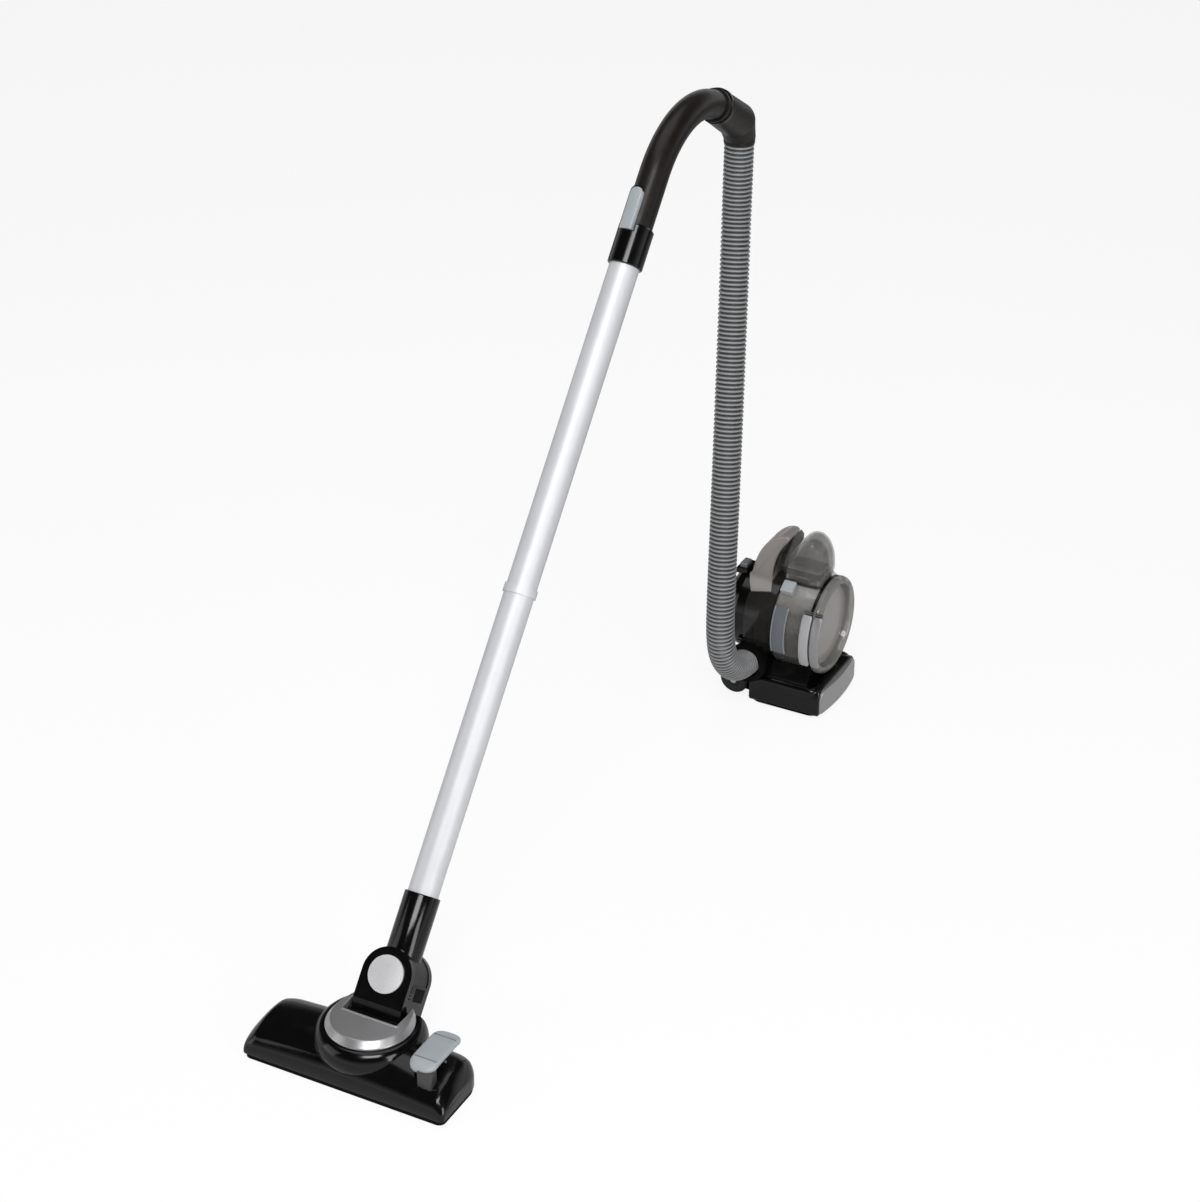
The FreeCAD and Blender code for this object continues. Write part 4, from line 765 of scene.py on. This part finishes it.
def make_lights(stage):
    """White surroundings low down, a dim ceiling above, and soft boxes in front, overhead and beside."""
    world = bpy.data.worlds.new("studio")
    world.use_nodes = True
    tree = world.node_tree
    background = tree.nodes["Background"]
    background.inputs["Color"].default_value = WHITE
    height = height_range(tree, "Generated", From_Min=0.05, From_Max=0.5, To_Min=1.0, To_Max=stage.ceiling)
    height.interpolation_type = "SMOOTHSTEP"
    rays = tree.nodes.new("ShaderNodeLightPath").outputs
    diffuse = tree.nodes.new("ShaderNodeMapRange")
    set_sockets(diffuse, To_Min=stage.surround, To_Max=1.0)
    seen = combined(tree, "MAXIMUM", rays["Is Glossy Ray"], rays["Is Transmission Ray"])
    tree.links.new(seen, diffuse.inputs["Value"])
    shaded = combined(tree, "MULTIPLY", height.outputs["Result"], diffuse.outputs["Result"])
    strength = combined(tree, "MAXIMUM", shaded, rays["Is Camera Ray"])
    tree.links.new(strength, background.inputs["Strength"])
    bpy.context.scene.world = world
    area_light("key soft box", (0.9, -1.9, 2.9), (0.0, -0.1, 0.2), 1.5, 1.0, stage.key_power)
    area_light("overhead soft box", (-0.3, 0.3, 3.3), (0.0, 0.0, 0.2), 2.4, 2.4, stage.key_power * 0.5)
    area_light("fill right", (2.7, -1.3, 1.3), (0.0, 0.0, 0.3), 0.9, 1.6, stage.fill_power)
    area_light("fill left", (-2.4, -2.0, 1.4), (0.0, 0.0, 0.3), 1.6, 1.8, stage.fill_power * 0.45)


def make_camera(stage):
    """Camera at the stage's place, heading and pitch."""
    lens = bpy.data.cameras.new("camera")
    lens.sensor_fit = "HORIZONTAL"
    lens.sensor_width = 36.0
    lens.lens = stage.lens
    lens.clip_end = 60.0
    camera = bpy.data.objects.new("camera", lens)
    camera.location = stage.camera_place
    camera.rotation_euler = (math.pi / 2 - stage.camera_pitch, 0.0, stage.camera_azimuth)
    bpy.context.collection.objects.link(camera)
    bpy.context.scene.camera = camera


# ---------------- floor head

WAND_X = mid("upper_tube")[0]
HEAD_HALF = (high("head_shell")[0] - low("head_shell")[0]) / 2 / MM
HEAD_FRONT = low("head_shell")[1] / MM
HEAD_REAR = -438.0
HEAD_BOTTOM = 6.0
HEAD_CROWN = 47.5
FRONT_CORNER = 5.0
REAR_CORNER = 27.0
END_FALL = 0.44
END_REACH = 13.0
ARCH_RADIUS = 900.0
TURRET_Y = mid("turret_ring")[1] / MM
SLOT_HALF = 34.25
SLOT_FRONT = -456.25
SLOT_REAR = -370.0
HORSESHOE_FRONT = -462.0
HORSESHOE_CORNER = math.radians(28.0)
FULL_GAP = 16.0
TURRET_RADIUS = 58.5
TURRET_TIP = 34.0
CRESCENT_RADIUS = 49.6
CRESCENT_TIP = 33.0
TRUNNION_RADIUS = 24.4
HEAD_PLACE = ((WAND_X, 0.0, 0.0), X_AXIS, Y_AXIS)
# rows of (base, offset, height) for horseshoe_rings
TURRET_PROFILE = [(0, -5.6, 32.0), (0, -4.8, 37.0), (0, -3.0, 41.8), (0, -0.4, 45.8), (0, 2.6, 48.6),
                  (0, 5.0, 50.0), (0, 7.8, 50.4), (1, 0.2, 50.4), (1, 0.0, 50.1), (1, 0.0, 34.0),
                  (0, 6.0, 12.0), (0, -3.0, 24.0)]
CRESCENT_PROFILE = [(0, 0.0, 50.0), (0, 0.0, 51.2), (0, 0.2, 51.7), (0, 0.6, 52.1), (0, 1.2, 52.64),
                    (0, 6.4, 57.25), (0, 7.0, 57.75), (0, 7.6, 58.1), (0, 8.6, 58.2), (1, 3.6, 58.2),
                    (1, 3.0, 58.25), (1, 2.4, 58.8), (1, 1.2, 58.9), (1, 0.5, 58.7), (1, 0.2, 58.1),
                    (1, 0.2, 50.0)]


def wing_rings():
    """Sections of the floor head's wings from its left end to its right end.

    The section is a rounded outline in Y and Z. At distance d from an end, its front and rear move in
    by r - sqrt(r^2 - (r - d)^2), its height above the bottom is scaled by 1 - fall (1 - d / reach)^1.5,
    and the arch lowers it by x^2 / (2 R).
    """
    section = even_steps(rounded_outline(
        [(HEAD_FRONT, HEAD_BOTTOM), (HEAD_FRONT, 24.0), (HEAD_FRONT + 21, 40.5), (HEAD_FRONT + 50, 48.6),
         (HEAD_REAR - 12, 43.0), (HEAD_REAR, 31.0), (HEAD_REAR, HEAD_BOTTOM)],
        [0.3, 15.0, 15.0, 18.0, 9.0, 9.0, 0.3], 9), 150)
    x = HEAD_HALF * np.sin(np.linspace(-np.pi / 2, np.pi / 2, 91))
    from_end = HEAD_HALF - np.abs(x)

    def corner(radius):
        return radius - np.sqrt(radius ** 2 - np.clip(radius - from_end, 0, radius) ** 2)

    front, rear = HEAD_FRONT + corner(FRONT_CORNER), HEAD_REAR - corner(REAR_CORNER)
    rise = 1 - END_FALL * np.clip(1 - from_end / END_REACH, 0, 1) ** 1.5
    rise = rise * (HEAD_CROWN - x ** 2 / (2 * ARCH_RADIUS) - HEAD_BOTTOM) / (HEAD_CROWN - HEAD_BOTTOM)
    share = (section[:, 0] - HEAD_FRONT) / (HEAD_REAR - HEAD_FRONT)
    y = front[:, None] + share[None] * (rear - front)[:, None]
    z = HEAD_BOTTOM + (section[:, 1] - HEAD_BOTTOM)[None] * rise[:, None]
    return np.stack([np.broadcast_to(x[:, None], y.shape), y, z], -1)


def horseshoe_rings(radius, tip, profile, steps=90):
    """Sections of a turned form that is open at the yoke's slot, from its left tip round its front.

    An outer point O on the circle and an inner point I on the slot's edge move together from tip to
    tip. A profile row (base, offset, height) lies at O or I (base 0 or 1), moved by offset towards
    the other, and offsets shrink where the two are closer than the full gap.
    """
    turn_in = np.arcsin(tip / radius)
    stops, places = [0, 1, 2, 3], np.linspace(0, 3, steps)
    angles = np.interp(places, stops, [np.pi - turn_in, np.pi + HORSESHOE_CORNER,
                                       2 * np.pi - HORSESHOE_CORNER, 2 * np.pi + turn_in])
    outer = np.stack([radius * np.cos(angles), TURRET_Y + radius * np.sin(angles)], 1)
    rear = TURRET_Y + tip - 1.0
    inner = np.stack([np.interp(places, stops, [-SLOT_HALF, -SLOT_HALF, SLOT_HALF, SLOT_HALF]),
                      np.interp(places, stops, [rear, HORSESHOE_FRONT, HORSESHOE_FRONT, rear])], 1)
    gap = np.linalg.norm(inner - outer, axis=1, keepdims=True)
    towards = (inner - outer) / gap
    shrink = np.clip(gap / FULL_GAP, 0.25, 1.0)
    base, offset, height = np.asarray(profile, float).T
    start = np.where(base[None, :, None] < 0.5, outer[:, None], inner[:, None])
    move = towards[:, None] * shrink[:, None] * (offset * np.where(base < 0.5, 1, -1))[None, :, None]
    flat = start + move
    return np.concatenate([flat, np.broadcast_to(height[None, :, None], (*flat.shape[:2], 1))], -1)


class VACUUM_OT_head(bpy.types.Operator):
    """Wings and turret of the floor head"""
    bl_idname = "vacuum.head"
    bl_label = "Floor head"

    def execute(self, context):
        wings = solid("head_wings", placed(wing_rings(), *HEAD_PLACE), 38.0)
        profile = [(TRUNNION_RADIUS, -SLOT_HALF), (TRUNNION_RADIUS, SLOT_HALF)]
        drum = turned("drum cutter", profile, TILT, X_AXIS, Z_AXIS)
        outline = box(-SLOT_HALF, SLOT_FRONT, SLOT_HALF, SLOT_REAR, 1.0, 3)
        slot = slab("slot cutter", outline, 3.2, 90.0, 0.2, HEAD_PLACE)
        carved(wings, slot, drum)
        finish_piece(wings, "head", "black_gloss", "head_shell")
        turret = horseshoe_rings(TURRET_RADIUS, TURRET_TIP, TURRET_PROFILE)
        finish_piece(solid("head_turret", placed(turret, *HEAD_PLACE), 40.0), "head", "black_gloss")
        return {"FINISHED"}


class VACUUM_OT_crescent(bpy.types.Operator):
    """Silver crescent round the yoke's slot"""
    bl_idname = "vacuum.crescent"
    bl_label = "Crescent"

    def execute(self, context):
        rings = horseshoe_rings(CRESCENT_RADIUS, CRESCENT_TIP, CRESCENT_PROFILE, 120)
        piece = solid("crescent", placed(rings, *HEAD_PLACE), 50.0)
        finish_piece(piece, "head", "silver", "turret_ring", finish="crescent_silver")
        return {"FINISHED"}


def furthest(node, axis):
    """How far a node reaches from the steer pivot along an axis, in metres."""
    points = np.empty(len(NODES[node].data.vertices) * 3)
    NODES[node].data.vertices.foreach_get("co", points)
    return ((points.reshape(-1, 3) - STEER) @ axis).max()


DISC_RADIUS = 21.2
SLEEVE_PROFILE = [(0.0, 22.0), (20.5, 22.0), (20.5, 92.8), (20.1, 93.6), (19.3, 94.0), (17.6, 94.0),
                  (17.6, 60.0), (0.0, 60.0)]
NECK_DRUM_PROFILE = [(0.0, -18.0), (28.9, -18.0), (29.7, -17.2), (29.7, 17.2), (28.9, 18.0), (0.0, 18.0)]
YOKE_SIDE = (STEER + X_AXIS * 0.0305, STEER_AXIS, np.cross(X_AXIS, STEER_AXIS))
# name, low and high corner (u along the steer pivot, v square to it), heights, material
YOKE_BLOCKS = [("yoke_side_cover", (-19.0, -24.0, 19.0, -2.5), (-0.7, -0.05), "black_satin"),
               # the recess is a dark raised slab in matte black: painted shade
               ("yoke_recess_shade", (-7.0, -20.0, 16.5, -5.0), (-0.4, 0.15), "black_matte")]
YOKE_BLOCKS += [(f"yoke_rib_{number + 1}", (-17.0, -6.8 - 4.0 * number, -9.5, -5.2 - 4.0 * number),
                 (-0.4, 0.9), "black_satin") for number in range(4)]


class VACUUM_OT_yoke_details(bpy.types.Operator):
    """Silver discs of the yoke, ribs and a dark slab of painted shade for the recess on its side, and the neck
    between its halves
    """
    bl_idname = "vacuum.yoke_details"
    bl_label = "Yoke details"

    def execute(self, context):
        for node, axis in (("yoke_cap_front", -STEER_AXIS), ("yoke_cap_back", STEER_AXIS)):
            reach = furthest(node, axis) / MM
            # a shallow dish: height = 1.5 (r / R)^2
            dish = [(radius, reach - 1.4 + (0.2 + 1.5 * (radius / DISC_RADIUS) ** 2))
                    for radius in np.linspace(DISC_RADIUS, 0.0, 12)]
            profile = [(20.6, reach - 1.8), (21.3, reach - 1.6)] + dish
            disc = turned(node + "_disc", profile, STEER, axis, X_AXIS)
            finish_piece(disc, "yoke", "silver", node, finish="disc_silver")
        finish_piece(turned("sleeve", SLEEVE_PROFILE, STEER, WAND_AXIS, X_AXIS), "wand", "black_gloss",
                     "neck_sleeve")
        finish_piece(turned("neck_drum", NECK_DRUM_PROFILE, STEER, STEER_AXIS, X_AXIS), "wand", "black_satin")
        for name, corners, heights, finish in YOKE_BLOCKS:
            block = slab(name, box(*corners, 0.5, 4), *heights, 0.2, YOKE_SIDE)
            finish_piece(block, "yoke", "black_satin", finish=finish)
        return {"FINISHED"}


PEDAL_FLAT = 14.0


def bent(flat):
    """Drop of the pedal: v^2 / 90 past its flat middle, and u^2 / 420 across it."""
    past = np.clip(np.abs(flat[:, 1]) - PEDAL_FLAT, 0.0, None)
    return -past ** 2 / 90.0 - flat[:, 0] ** 2 / 420.0


class VACUUM_OT_pedal(bpy.types.Operator):
    """Crowned floor pedal on its dark stem"""
    bl_idname = "vacuum.pedal"
    bl_label = "Pedal"

    def execute(self, context):
        centre = mid("pedal")
        place = ((centre[0] - 0.002, centre[1] + 0.004, 0.0), X_AXIS, Y_AXIS)
        outline = box(-16, -35, 16, 35, 14.0, 12)
        edge_rows = 7
        rings = slab_rings(even_steps(outline, 120), 51.6, 58.4, 2.4, bent, edge_rows, 8)
        under = rings[:edge_rows]
        under[..., 2] += bent(under.reshape(-1, 3)[:, :2]).reshape(under.shape[:2])
        finish_piece(solid("pedal_cap", placed(rings, *place), 40.0), "foot_pedal", "grey_light", "pedal")
        for name, v in (("pedal_line_near", -20.5), ("pedal_line_far", 20.5)):
            strip = box(-13.5, v - 0.6, 13.5, v + 0.6, 0.4, 3)
            line = slab(name, strip, 57.0, 59.15, 0.1, place, bent)
            finish_piece(line, "foot_pedal", "grey_light", finish="line_grey")
        stem = box(-2, -37, 16, -23, 2.5, 5)
        finish_piece(slab("pedal_stem", stem, 26.0, 51.0, 0.8, place), "foot_pedal", "black_satin",
                     finish="stem_grey")
        return {"FINISHED"}


# ---------------- handle

BEND_START = 0.942
BEND_RADIUS = 0.126
BEND_TURN = math.radians(77.1)
SLIDER_RADII = [1.4, 1.4, 8.4, 8.4]
SLIDER_TURN = math.radians(16.0)
SLIDER_CURVE = 32.0
SLIDER_PLACE = (STEER, math.cos(SLIDER_TURN) * X_AXIS - math.sin(SLIDER_TURN) * STEER_AXIS, WAND_AXIS)


def wrapped(flat):
    """Drop of the slider across the tube: sqrt(R^2 - u^2) - R."""
    return np.sqrt(SLIDER_CURVE ** 2 - flat[:, 0] ** 2) - SLIDER_CURVE


class VACUUM_OT_handle(bpy.types.Operator):
    """Suction slider in its frame, and the elbow's band"""
    bl_idname = "vacuum.handle"
    bl_label = "Handle details"

    def execute(self, context):
        cap = box(-8.6, 868.5, 8.6, 918.5, SLIDER_RADII, 10)
        piece = slab("slider_cap", even_steps(cap, 120), 14.0, 21.6, 1.4, SLIDER_PLACE, wrapped, 8, 40.0)
        finish_piece(piece, "slider", "grey_light", "suction_slider")
        # the frame is a dark rim in matte black round the slider: painted shade in its recess
        rim = box(-11.4, 874.0, 8.0, 920.5, SLIDER_RADII, 10)
        piece = slab("slider_frame", even_steps(rim, 120), 13.0, 20.0, 0.8, SLIDER_PLACE, wrapped, 8, 40.0, 4)
        finish_piece(piece, "wand", "black_satin", finish="black_matte")
        ahead, down = math.sin(BEND_TURN), 1 - math.cos(BEND_TURN)
        end = STEER + WAND_AXIS * BEND_START + BEND_RADIUS * (ahead * WAND_AXIS + down * STEER_AXIS)
        onward = math.cos(BEND_TURN) * WAND_AXIS + math.sin(BEND_TURN) * STEER_AXIS
        band = box(18.6, 4.6, 21.6, 11.6, 0.7, 6)
        finish_piece(turned("elbow_band", band, end, onward, X_AXIS, loop=True), "canister", "black_gloss")
        return {"FINISHED"}


# ---------------- canister

DRUM = np.array([0.0, CANISTER_Y, DRUM_Z])
CANISTER_FLOOR = (0.0, CANISTER_Y, 0.0)
SIDE_PLACE = (CANISTER_FLOOR, X_AXIS, Z_AXIS)
FRONT_PLACE = (CANISTER_FLOOR, Y_AXIS, Z_AXIS)
TOP_PLACE = (CANISTER_FLOOR, X_AXIS, Y_AXIS)


def round_drum(x, radius, angle):
    """Points at X and radius in millimetres, at an angle above -Y: y = -r cos a, z = r sin a."""
    return DRUM + np.stack([x, -radius * np.cos(angle), radius * np.sin(angle)], -1) * MM


def arc_strip(back, front, inner, outer, angles, edge, crown=0.0, steps=40):
    """Sections of a strip bent round the drum, from its low end to its high end on the near side.

    The section in X and r is a rounded outline, raised by crown (1 - s^2) across its width, and it
    shrinks to its middle over the strip's last steps.
    """
    section = box(back, inner, front, outer, edge, 6)
    centre = section.mean(0)
    share = np.linspace(0.0, 1.0, steps)
    ends = np.clip(np.minimum(share, 1 - share) * (steps - 1) / 3.0, 0.0, 1.0)
    shrink = 0.80 + 0.20 * np.sqrt(1 - (1 - ends) ** 2)
    flat = centre + (section - centre)[None] * shrink[:, None, None]
    across = (flat[..., 0] - centre[0]) / ((front - back) / 2)
    radius = flat[..., 1] + np.where(flat[..., 1] > centre[1], crown * (1 - across ** 2), 0.0)
    return round_drum(flat[..., 0], radius, angles[0] + (angles[1] - angles[0]) * share[:, None])


FIN_LINE = [(11.5, 160.0), (14.5, 172.0), (18.0, 186.0), (23.5, 200.5), (32.0, 214.5), (42.5, 225.5),
            (53.0, 231.5), (61.0, 232.5), (65.0, 229.5), (63.0, 224.5), (56.5, 215.5), (49.5, 201.5),
            (45.5, 187.0), (43.5, 172.0), (43.0, 160.0)]
WEB_LINE = [(43.8, 166.0), (60.3, 166.0), (60.3, 184.0), (65.2, 205.0), (71.0, 217.0), (71.0, 224.5),
            (66.5, 229.5), (57.0, 215.5), (50.0, 201.5), (46.0, 187.0)]
HOOD_LINE = [(60.8, 166.0), (60.8, 184.0), (66.0, 205.0), (75.0, 223.5), (86.0, 233.0), (98.0, 233.5),
             (108.0, 225.5), (115.0, 210.0), (116.5, 190.0), (114.5, 178.0), (112.0, 176.0), (112.0, 166.0)]


ROOT_INNER = 58.4
ROOT_OUTER = 60.6


def root_rings(steps=30):
    """Sections of the carry handle's root, which lies on the drum's near shoulder.

    With s from 0 to 1 down the root: back edge X = 12 + 12 s^1.3, front edge X = 43.5 + 7 s. At a
    share c of the way from back to front, angle above -Y = 74 - s (26 - 5.5 c) degrees.
    """
    share = np.linspace(0.0, 1.0, steps)[:, None]
    section = box(0.0, ROOT_INNER, 1.0, ROOT_OUTER, 0.06, 5)
    across, radius = section[None, :, 0], np.where(section[:, 1] > 59.5, ROOT_OUTER, ROOT_INNER)
    back, front = 12.0 + 12.0 * share ** 1.3, 43.5 + 7.0 * share
    x = back + (front - back) * across
    angle = np.radians(74.0 - share * (26.0 - 5.5 * across))
    return round_drum(x, np.broadcast_to(radius, x.shape), angle)


class VACUUM_OT_carry_handle(bpy.types.Operator):
    """Hollow smoky carry handle that rises over the drum"""
    bl_idname = "vacuum.carry_handle"
    bl_label = "Carry handle"

    def execute(self, context):
        outline = smooth_outline(FIN_LINE, 140)
        piece = shell_slab("carry_blade", outline, -18.0, 18.0, 3.0, 2.0, SIDE_PLACE)
        finish_piece(piece, "canister", "smoke", "carry_handle", finish="blade_smoke")
        # the web is a dark slab on the handle's inner face: painted shade inside the hollow handle
        piece = slab("carry_web_shade", rounded_outline(WEB_LINE, 1.0, 4), -17.0, -7.0, 0.6, SIDE_PLACE)
        finish_piece(piece, "canister", "smoke", finish="inner_shade_smoke")
        finish_piece(solid("carry_root", root_rings(), 50.0), "canister", "smoke", finish="blade_smoke")
        return {"FINISHED"}


HOOD_RADII = [1, 6, 8, 6, 5, 5, 5, 7, 5, 2, 2, 1]
STRAP_ANGLES = (math.radians(-21.0), math.radians(38.0))


class VACUUM_OT_cup(bpy.types.Operator):
    """Hood of the dust cup with its inner parts, and the strap on the cup's side"""
    bl_idname = "vacuum.cup"
    bl_label = "Dust cup hood"

    def execute(self, context):
        outline = even_steps(rounded_outline(HOOD_LINE, HOOD_RADII, 7), 150)
        piece = shell_slab("cup_hood", outline, -21.0, 21.0, 7.0, 2.0, SIDE_PLACE)
        finish_piece(piece, "dust_cup", "smoke", "cup_dome", finish="hood_smoke")
        middle = outline.mean(axis=0)
        piece = slab("hood_core", middle + (outline - middle) * 0.78, -12.0, 12.0, 4.0, SIDE_PLACE)
        finish_piece(piece, "dust_cup", "smoke", finish="core_smoke")
        for name, bottom, top, finish in (("hood_skirt", 181.0, 188.4, "core_smoke"),
                                          ("hood_foot", 167.5, 180.4, "ledge_smoke")):
            skirt = rounded_outline([(62.6, bottom), (110.4, bottom), (110.2, top), (63.6, top)], 1.5, 4)
            finish_piece(slab(name, skirt, -14.0, 18.6, 1.0, SIDE_PLACE), "dust_cup", "smoke", finish=finish)
        ledge = box(64.6, -18.4, 110.4, 14.0, 3.0, 6)
        piece = slab("hood_ledge", ledge, 188.9, 191.4, 0.9, TOP_PLACE)
        finish_piece(piece, "dust_cup", "smoke", finish="ledge_smoke")
        for name, back, front in (("strap_edge_back", 64.0, 65.3), ("strap_edge_front", 82.0, 83.3)):
            edge = solid(name, arc_strip(back, front, 62.8, 65.5, STRAP_ANGLES, 0.3), 40.0)
            finish_piece(edge, "dust_cup", "smoke", finish="edge_smoke")
        strap = solid("cup_strap", arc_strip(65.3, 82.0, 62.6, 65.2, STRAP_ANGLES, 1.0), 40.0)
        finish_piece(strap, "dust_cup", "grey_light", "cup_side_band", finish="strap_smoke")
        return {"FINISHED"}


BASE_HALF = 58.95
BASE_TOP = 42.5
PLATE_HALF = 55.0
SEAT_RADIUS = 62.8
PLATE_RISE = 5.2


def bulge(flat):
    """Forward rise of the front plate: rise (1 - (y / half)^2)."""
    return PLATE_RISE * (1 - (flat[:, 0] / PLATE_HALF) ** 2)


class VACUUM_OT_base(bpy.types.Operator):
    """Rounded base with the cup's cradle and its silver front plate"""
    bl_idname = "vacuum.base"
    bl_label = "Base"

    def execute(self, context):
        block = box(-BASE_HALF, 3.5, BASE_HALF, BASE_TOP, [5, 5, 21, 21], 14)
        cover = slab("base_cover", even_steps(block, 160), 32.9, 132.25, 2.4, FRONT_PLACE)
        groove = box(82, -0.4, 126, 0.4, 0.2, 3)
        half = math.sqrt(0.5)
        carved(cover, slab("groove cutter", groove, -0.8, 4.0, 0.1,
                           ((0.0, CANISTER_Y - 0.0547, 0.0382), X_AXIS, (0, half, half))))
        finish_piece(cover, "canister", "black_gloss")
        turn = np.radians(np.linspace(-128.0, -52.0, 24))
        seat = np.column_stack([SEAT_RADIUS * np.cos(turn), DRUM_Z / MM + SEAT_RADIUS * np.sin(turn)])
        flank = [(44.0, 52.0), (51.0, 44.0), (52.5, 40.0)]
        mirrored = [(-y, z) for y, z in reversed(flank)]
        cradle = np.concatenate([seat, flank, mirrored])
        finish_piece(slab("cradle", cradle, 34.0, 112.0, 0.1, FRONT_PLACE, rows=2), "canister", "black_gloss")
        outline = box(-PLATE_HALF, 6.0, PLATE_HALF, 39.6, [5, 5, 17, 17], 12)
        plate = slab("front_plate", even_steps(outline, 160), 131.5, 134.4, 0.9, FRONT_PLACE, bulge, 8, 40.0)
        slot = box(36, 26.5, 47, 28.3, 0.6, 3)
        carved(plate, slab("slot cutter", slot, 132.5, 142.0, 0.1, FRONT_PLACE))
        finish_piece(plate, "canister", "silver", "front_trim_plate", finish="plate_silver")
        return {"FINISHED"}


BAR_ANGLES = (math.radians(-27.0), math.radians(35.5))
BAR_RADII = (66.4, 69.2)
PIVOT_RADIUS = 67.3
# name, back and front X, body, replaced node, material
BARS = [("latch_bar", 105.0, 118.2, "lid_latch", "latch_lever", "latch_silver"),
        ("catch_bar", 120.4, 132.4, "lid", "lid_catch", "catch_silver")]


class VACUUM_OT_latches(bpy.types.Operator):
    """Silver latch bars of the cup and the lid, with their dark pivots"""
    bl_idname = "vacuum.latches"
    bl_label = "Latches"

    def execute(self, context):
        for name, back, front, body, node, finish in BARS:
            bar = solid(name, arc_strip(back, front, *BAR_RADII, BAR_ANGLES, 1.3, 0.8), 50.0)
            finish_piece(bar, body, "silver", node, finish=finish)
            centre = round_drum(0.0, PIVOT_RADIUS, BAR_ANGLES[1] + math.radians(3.0))
            profile = [(0.6, back + 1.0), (2.5, back + 1.4), (2.5, front - 1.4), (0.6, front - 1.0)]
            pivot = turned(name + "_pivot", profile, centre, X_AXIS, Z_AXIS, sides=24)
            finish_piece(pivot, body, "steel", finish="dark_chrome")
        return {"FINISHED"}


BUTTON_HALF = 8.6


class VACUUM_OT_button(bpy.types.Operator):
    """Release button block on the cup's shoulder"""
    bl_idname = "vacuum.button"
    bl_label = "Cup release button"

    def execute(self, context):
        axis = joint_axis("cup_release_press")
        centre = mid("cup_release_button") - axis * 0.002 + X_AXIS * 0.0022
        outline = box(-BUTTON_HALF, -BUTTON_HALF, BUTTON_HALF, BUTTON_HALF, 1.8, 6)
        place = (centre, X_AXIS, np.cross(-axis, X_AXIS))
        finish_piece(slab("release_block", outline, -5.5, 5.0, 1.4, place), "cup_release", "grey_light",
                     "cup_release_button")
        return {"FINISHED"}


class VACUUM_OT_lid(bpy.types.Operator):
    """Clear lid: black back ring, rounded clear shoulder and recessed window"""
    bl_idname = "vacuum.lid"
    bl_label = "Lid"

    def execute(self, context):
        hoop = box(62.6, 112.8, 65.0, 117.4, 0.8, 6)
        shoulder = rounded_outline([(55.5, 116.2), (65.2, 117.5), (65.6, 122.5), (62.0, 127.4), (57.0, 127.4),
                                    (55.0, 125.0), (53.4, 117.5), (53.4, 116.2)],
                                   [0.4, 0.8, 3.0, 3.2, 1.5, 1.5, 0.6, 0.4], 6)
        window = [(0.0, 114.4), (53.2, 115.2), (53.2, 117.0), (50.0, 118.2), (30.0, 119.2), (8.0, 119.5),
                  (0.0, 119.5)]

        def ring(name, profile, loop=True):
            """Form turned about the drum's axis."""
            return turned(name, profile, DRUM, X_AXIS, Z_AXIS, loop, 96)

        finish_piece(ring("lid_hoop", hoop), "lid", "black_gloss")
        finish_piece(ring("lid_shoulder", shoulder), "lid", "clear", "lid_rim")
        finish_piece(ring("window_disc", window, False), "lid", "clear", "lid_window", finish="window_smoke")
        return {"FINISHED"}


# ---------------- panel and registration

class VACUUM_PT_panel(bpy.types.Panel):
    """Sizes, colours and build steps of the vacuum cleaner"""
    bl_idname = "VACUUM_PT_panel"
    bl_label = "Canister Vacuum Cleaner"
    bl_space_type = "VIEW_3D"
    bl_region_type = "UI"
    bl_category = "Vacuum"

    def draw(self, context):
        for group in GROUPS:
            rows = self.layout.box()
            for name in GROUPS[group].__annotations__:
                rows.prop(getattr(context.scene, group), name)
        for operator in OPERATORS:
            self.layout.operator(operator.bl_idname)


GROUPS = {
    "stage_settings": StageSettings,
    "finish_settings": FinishSettings,
    "hose_settings": HoseSettings,
}
OPERATORS = (
    VACUUM_OT_stage,
    VACUUM_OT_frame_finish,
    VACUUM_OT_hose,
    VACUUM_OT_head,
    VACUUM_OT_crescent,
    VACUUM_OT_yoke_details,
    VACUUM_OT_pedal,
    VACUUM_OT_handle,
    VACUUM_OT_carry_handle,
    VACUUM_OT_cup,
    VACUUM_OT_base,
    VACUUM_OT_latches,
    VACUUM_OT_button,
    VACUUM_OT_lid,
)


def register():
    for group_class in (*GROUPS.values(), *OPERATORS, VACUUM_PT_panel):
        bpy.utils.register_class(group_class)
    for name, group in GROUPS.items():
        setattr(bpy.types.Scene, name, PointerProperty(type=group))


def unregister():
    for name in GROUPS:
        delattr(bpy.types.Scene, name)
    for group_class in reversed((*GROUPS.values(), *OPERATORS, VACUUM_PT_panel)):
        bpy.utils.unregister_class(group_class)


def main():
    """Build everything in order."""
    register()
    for operator in OPERATORS:
        group, action = operator.bl_idname.split(".")
        getattr(getattr(bpy.ops, group), action)()


if __name__ == "__main__":
    main()
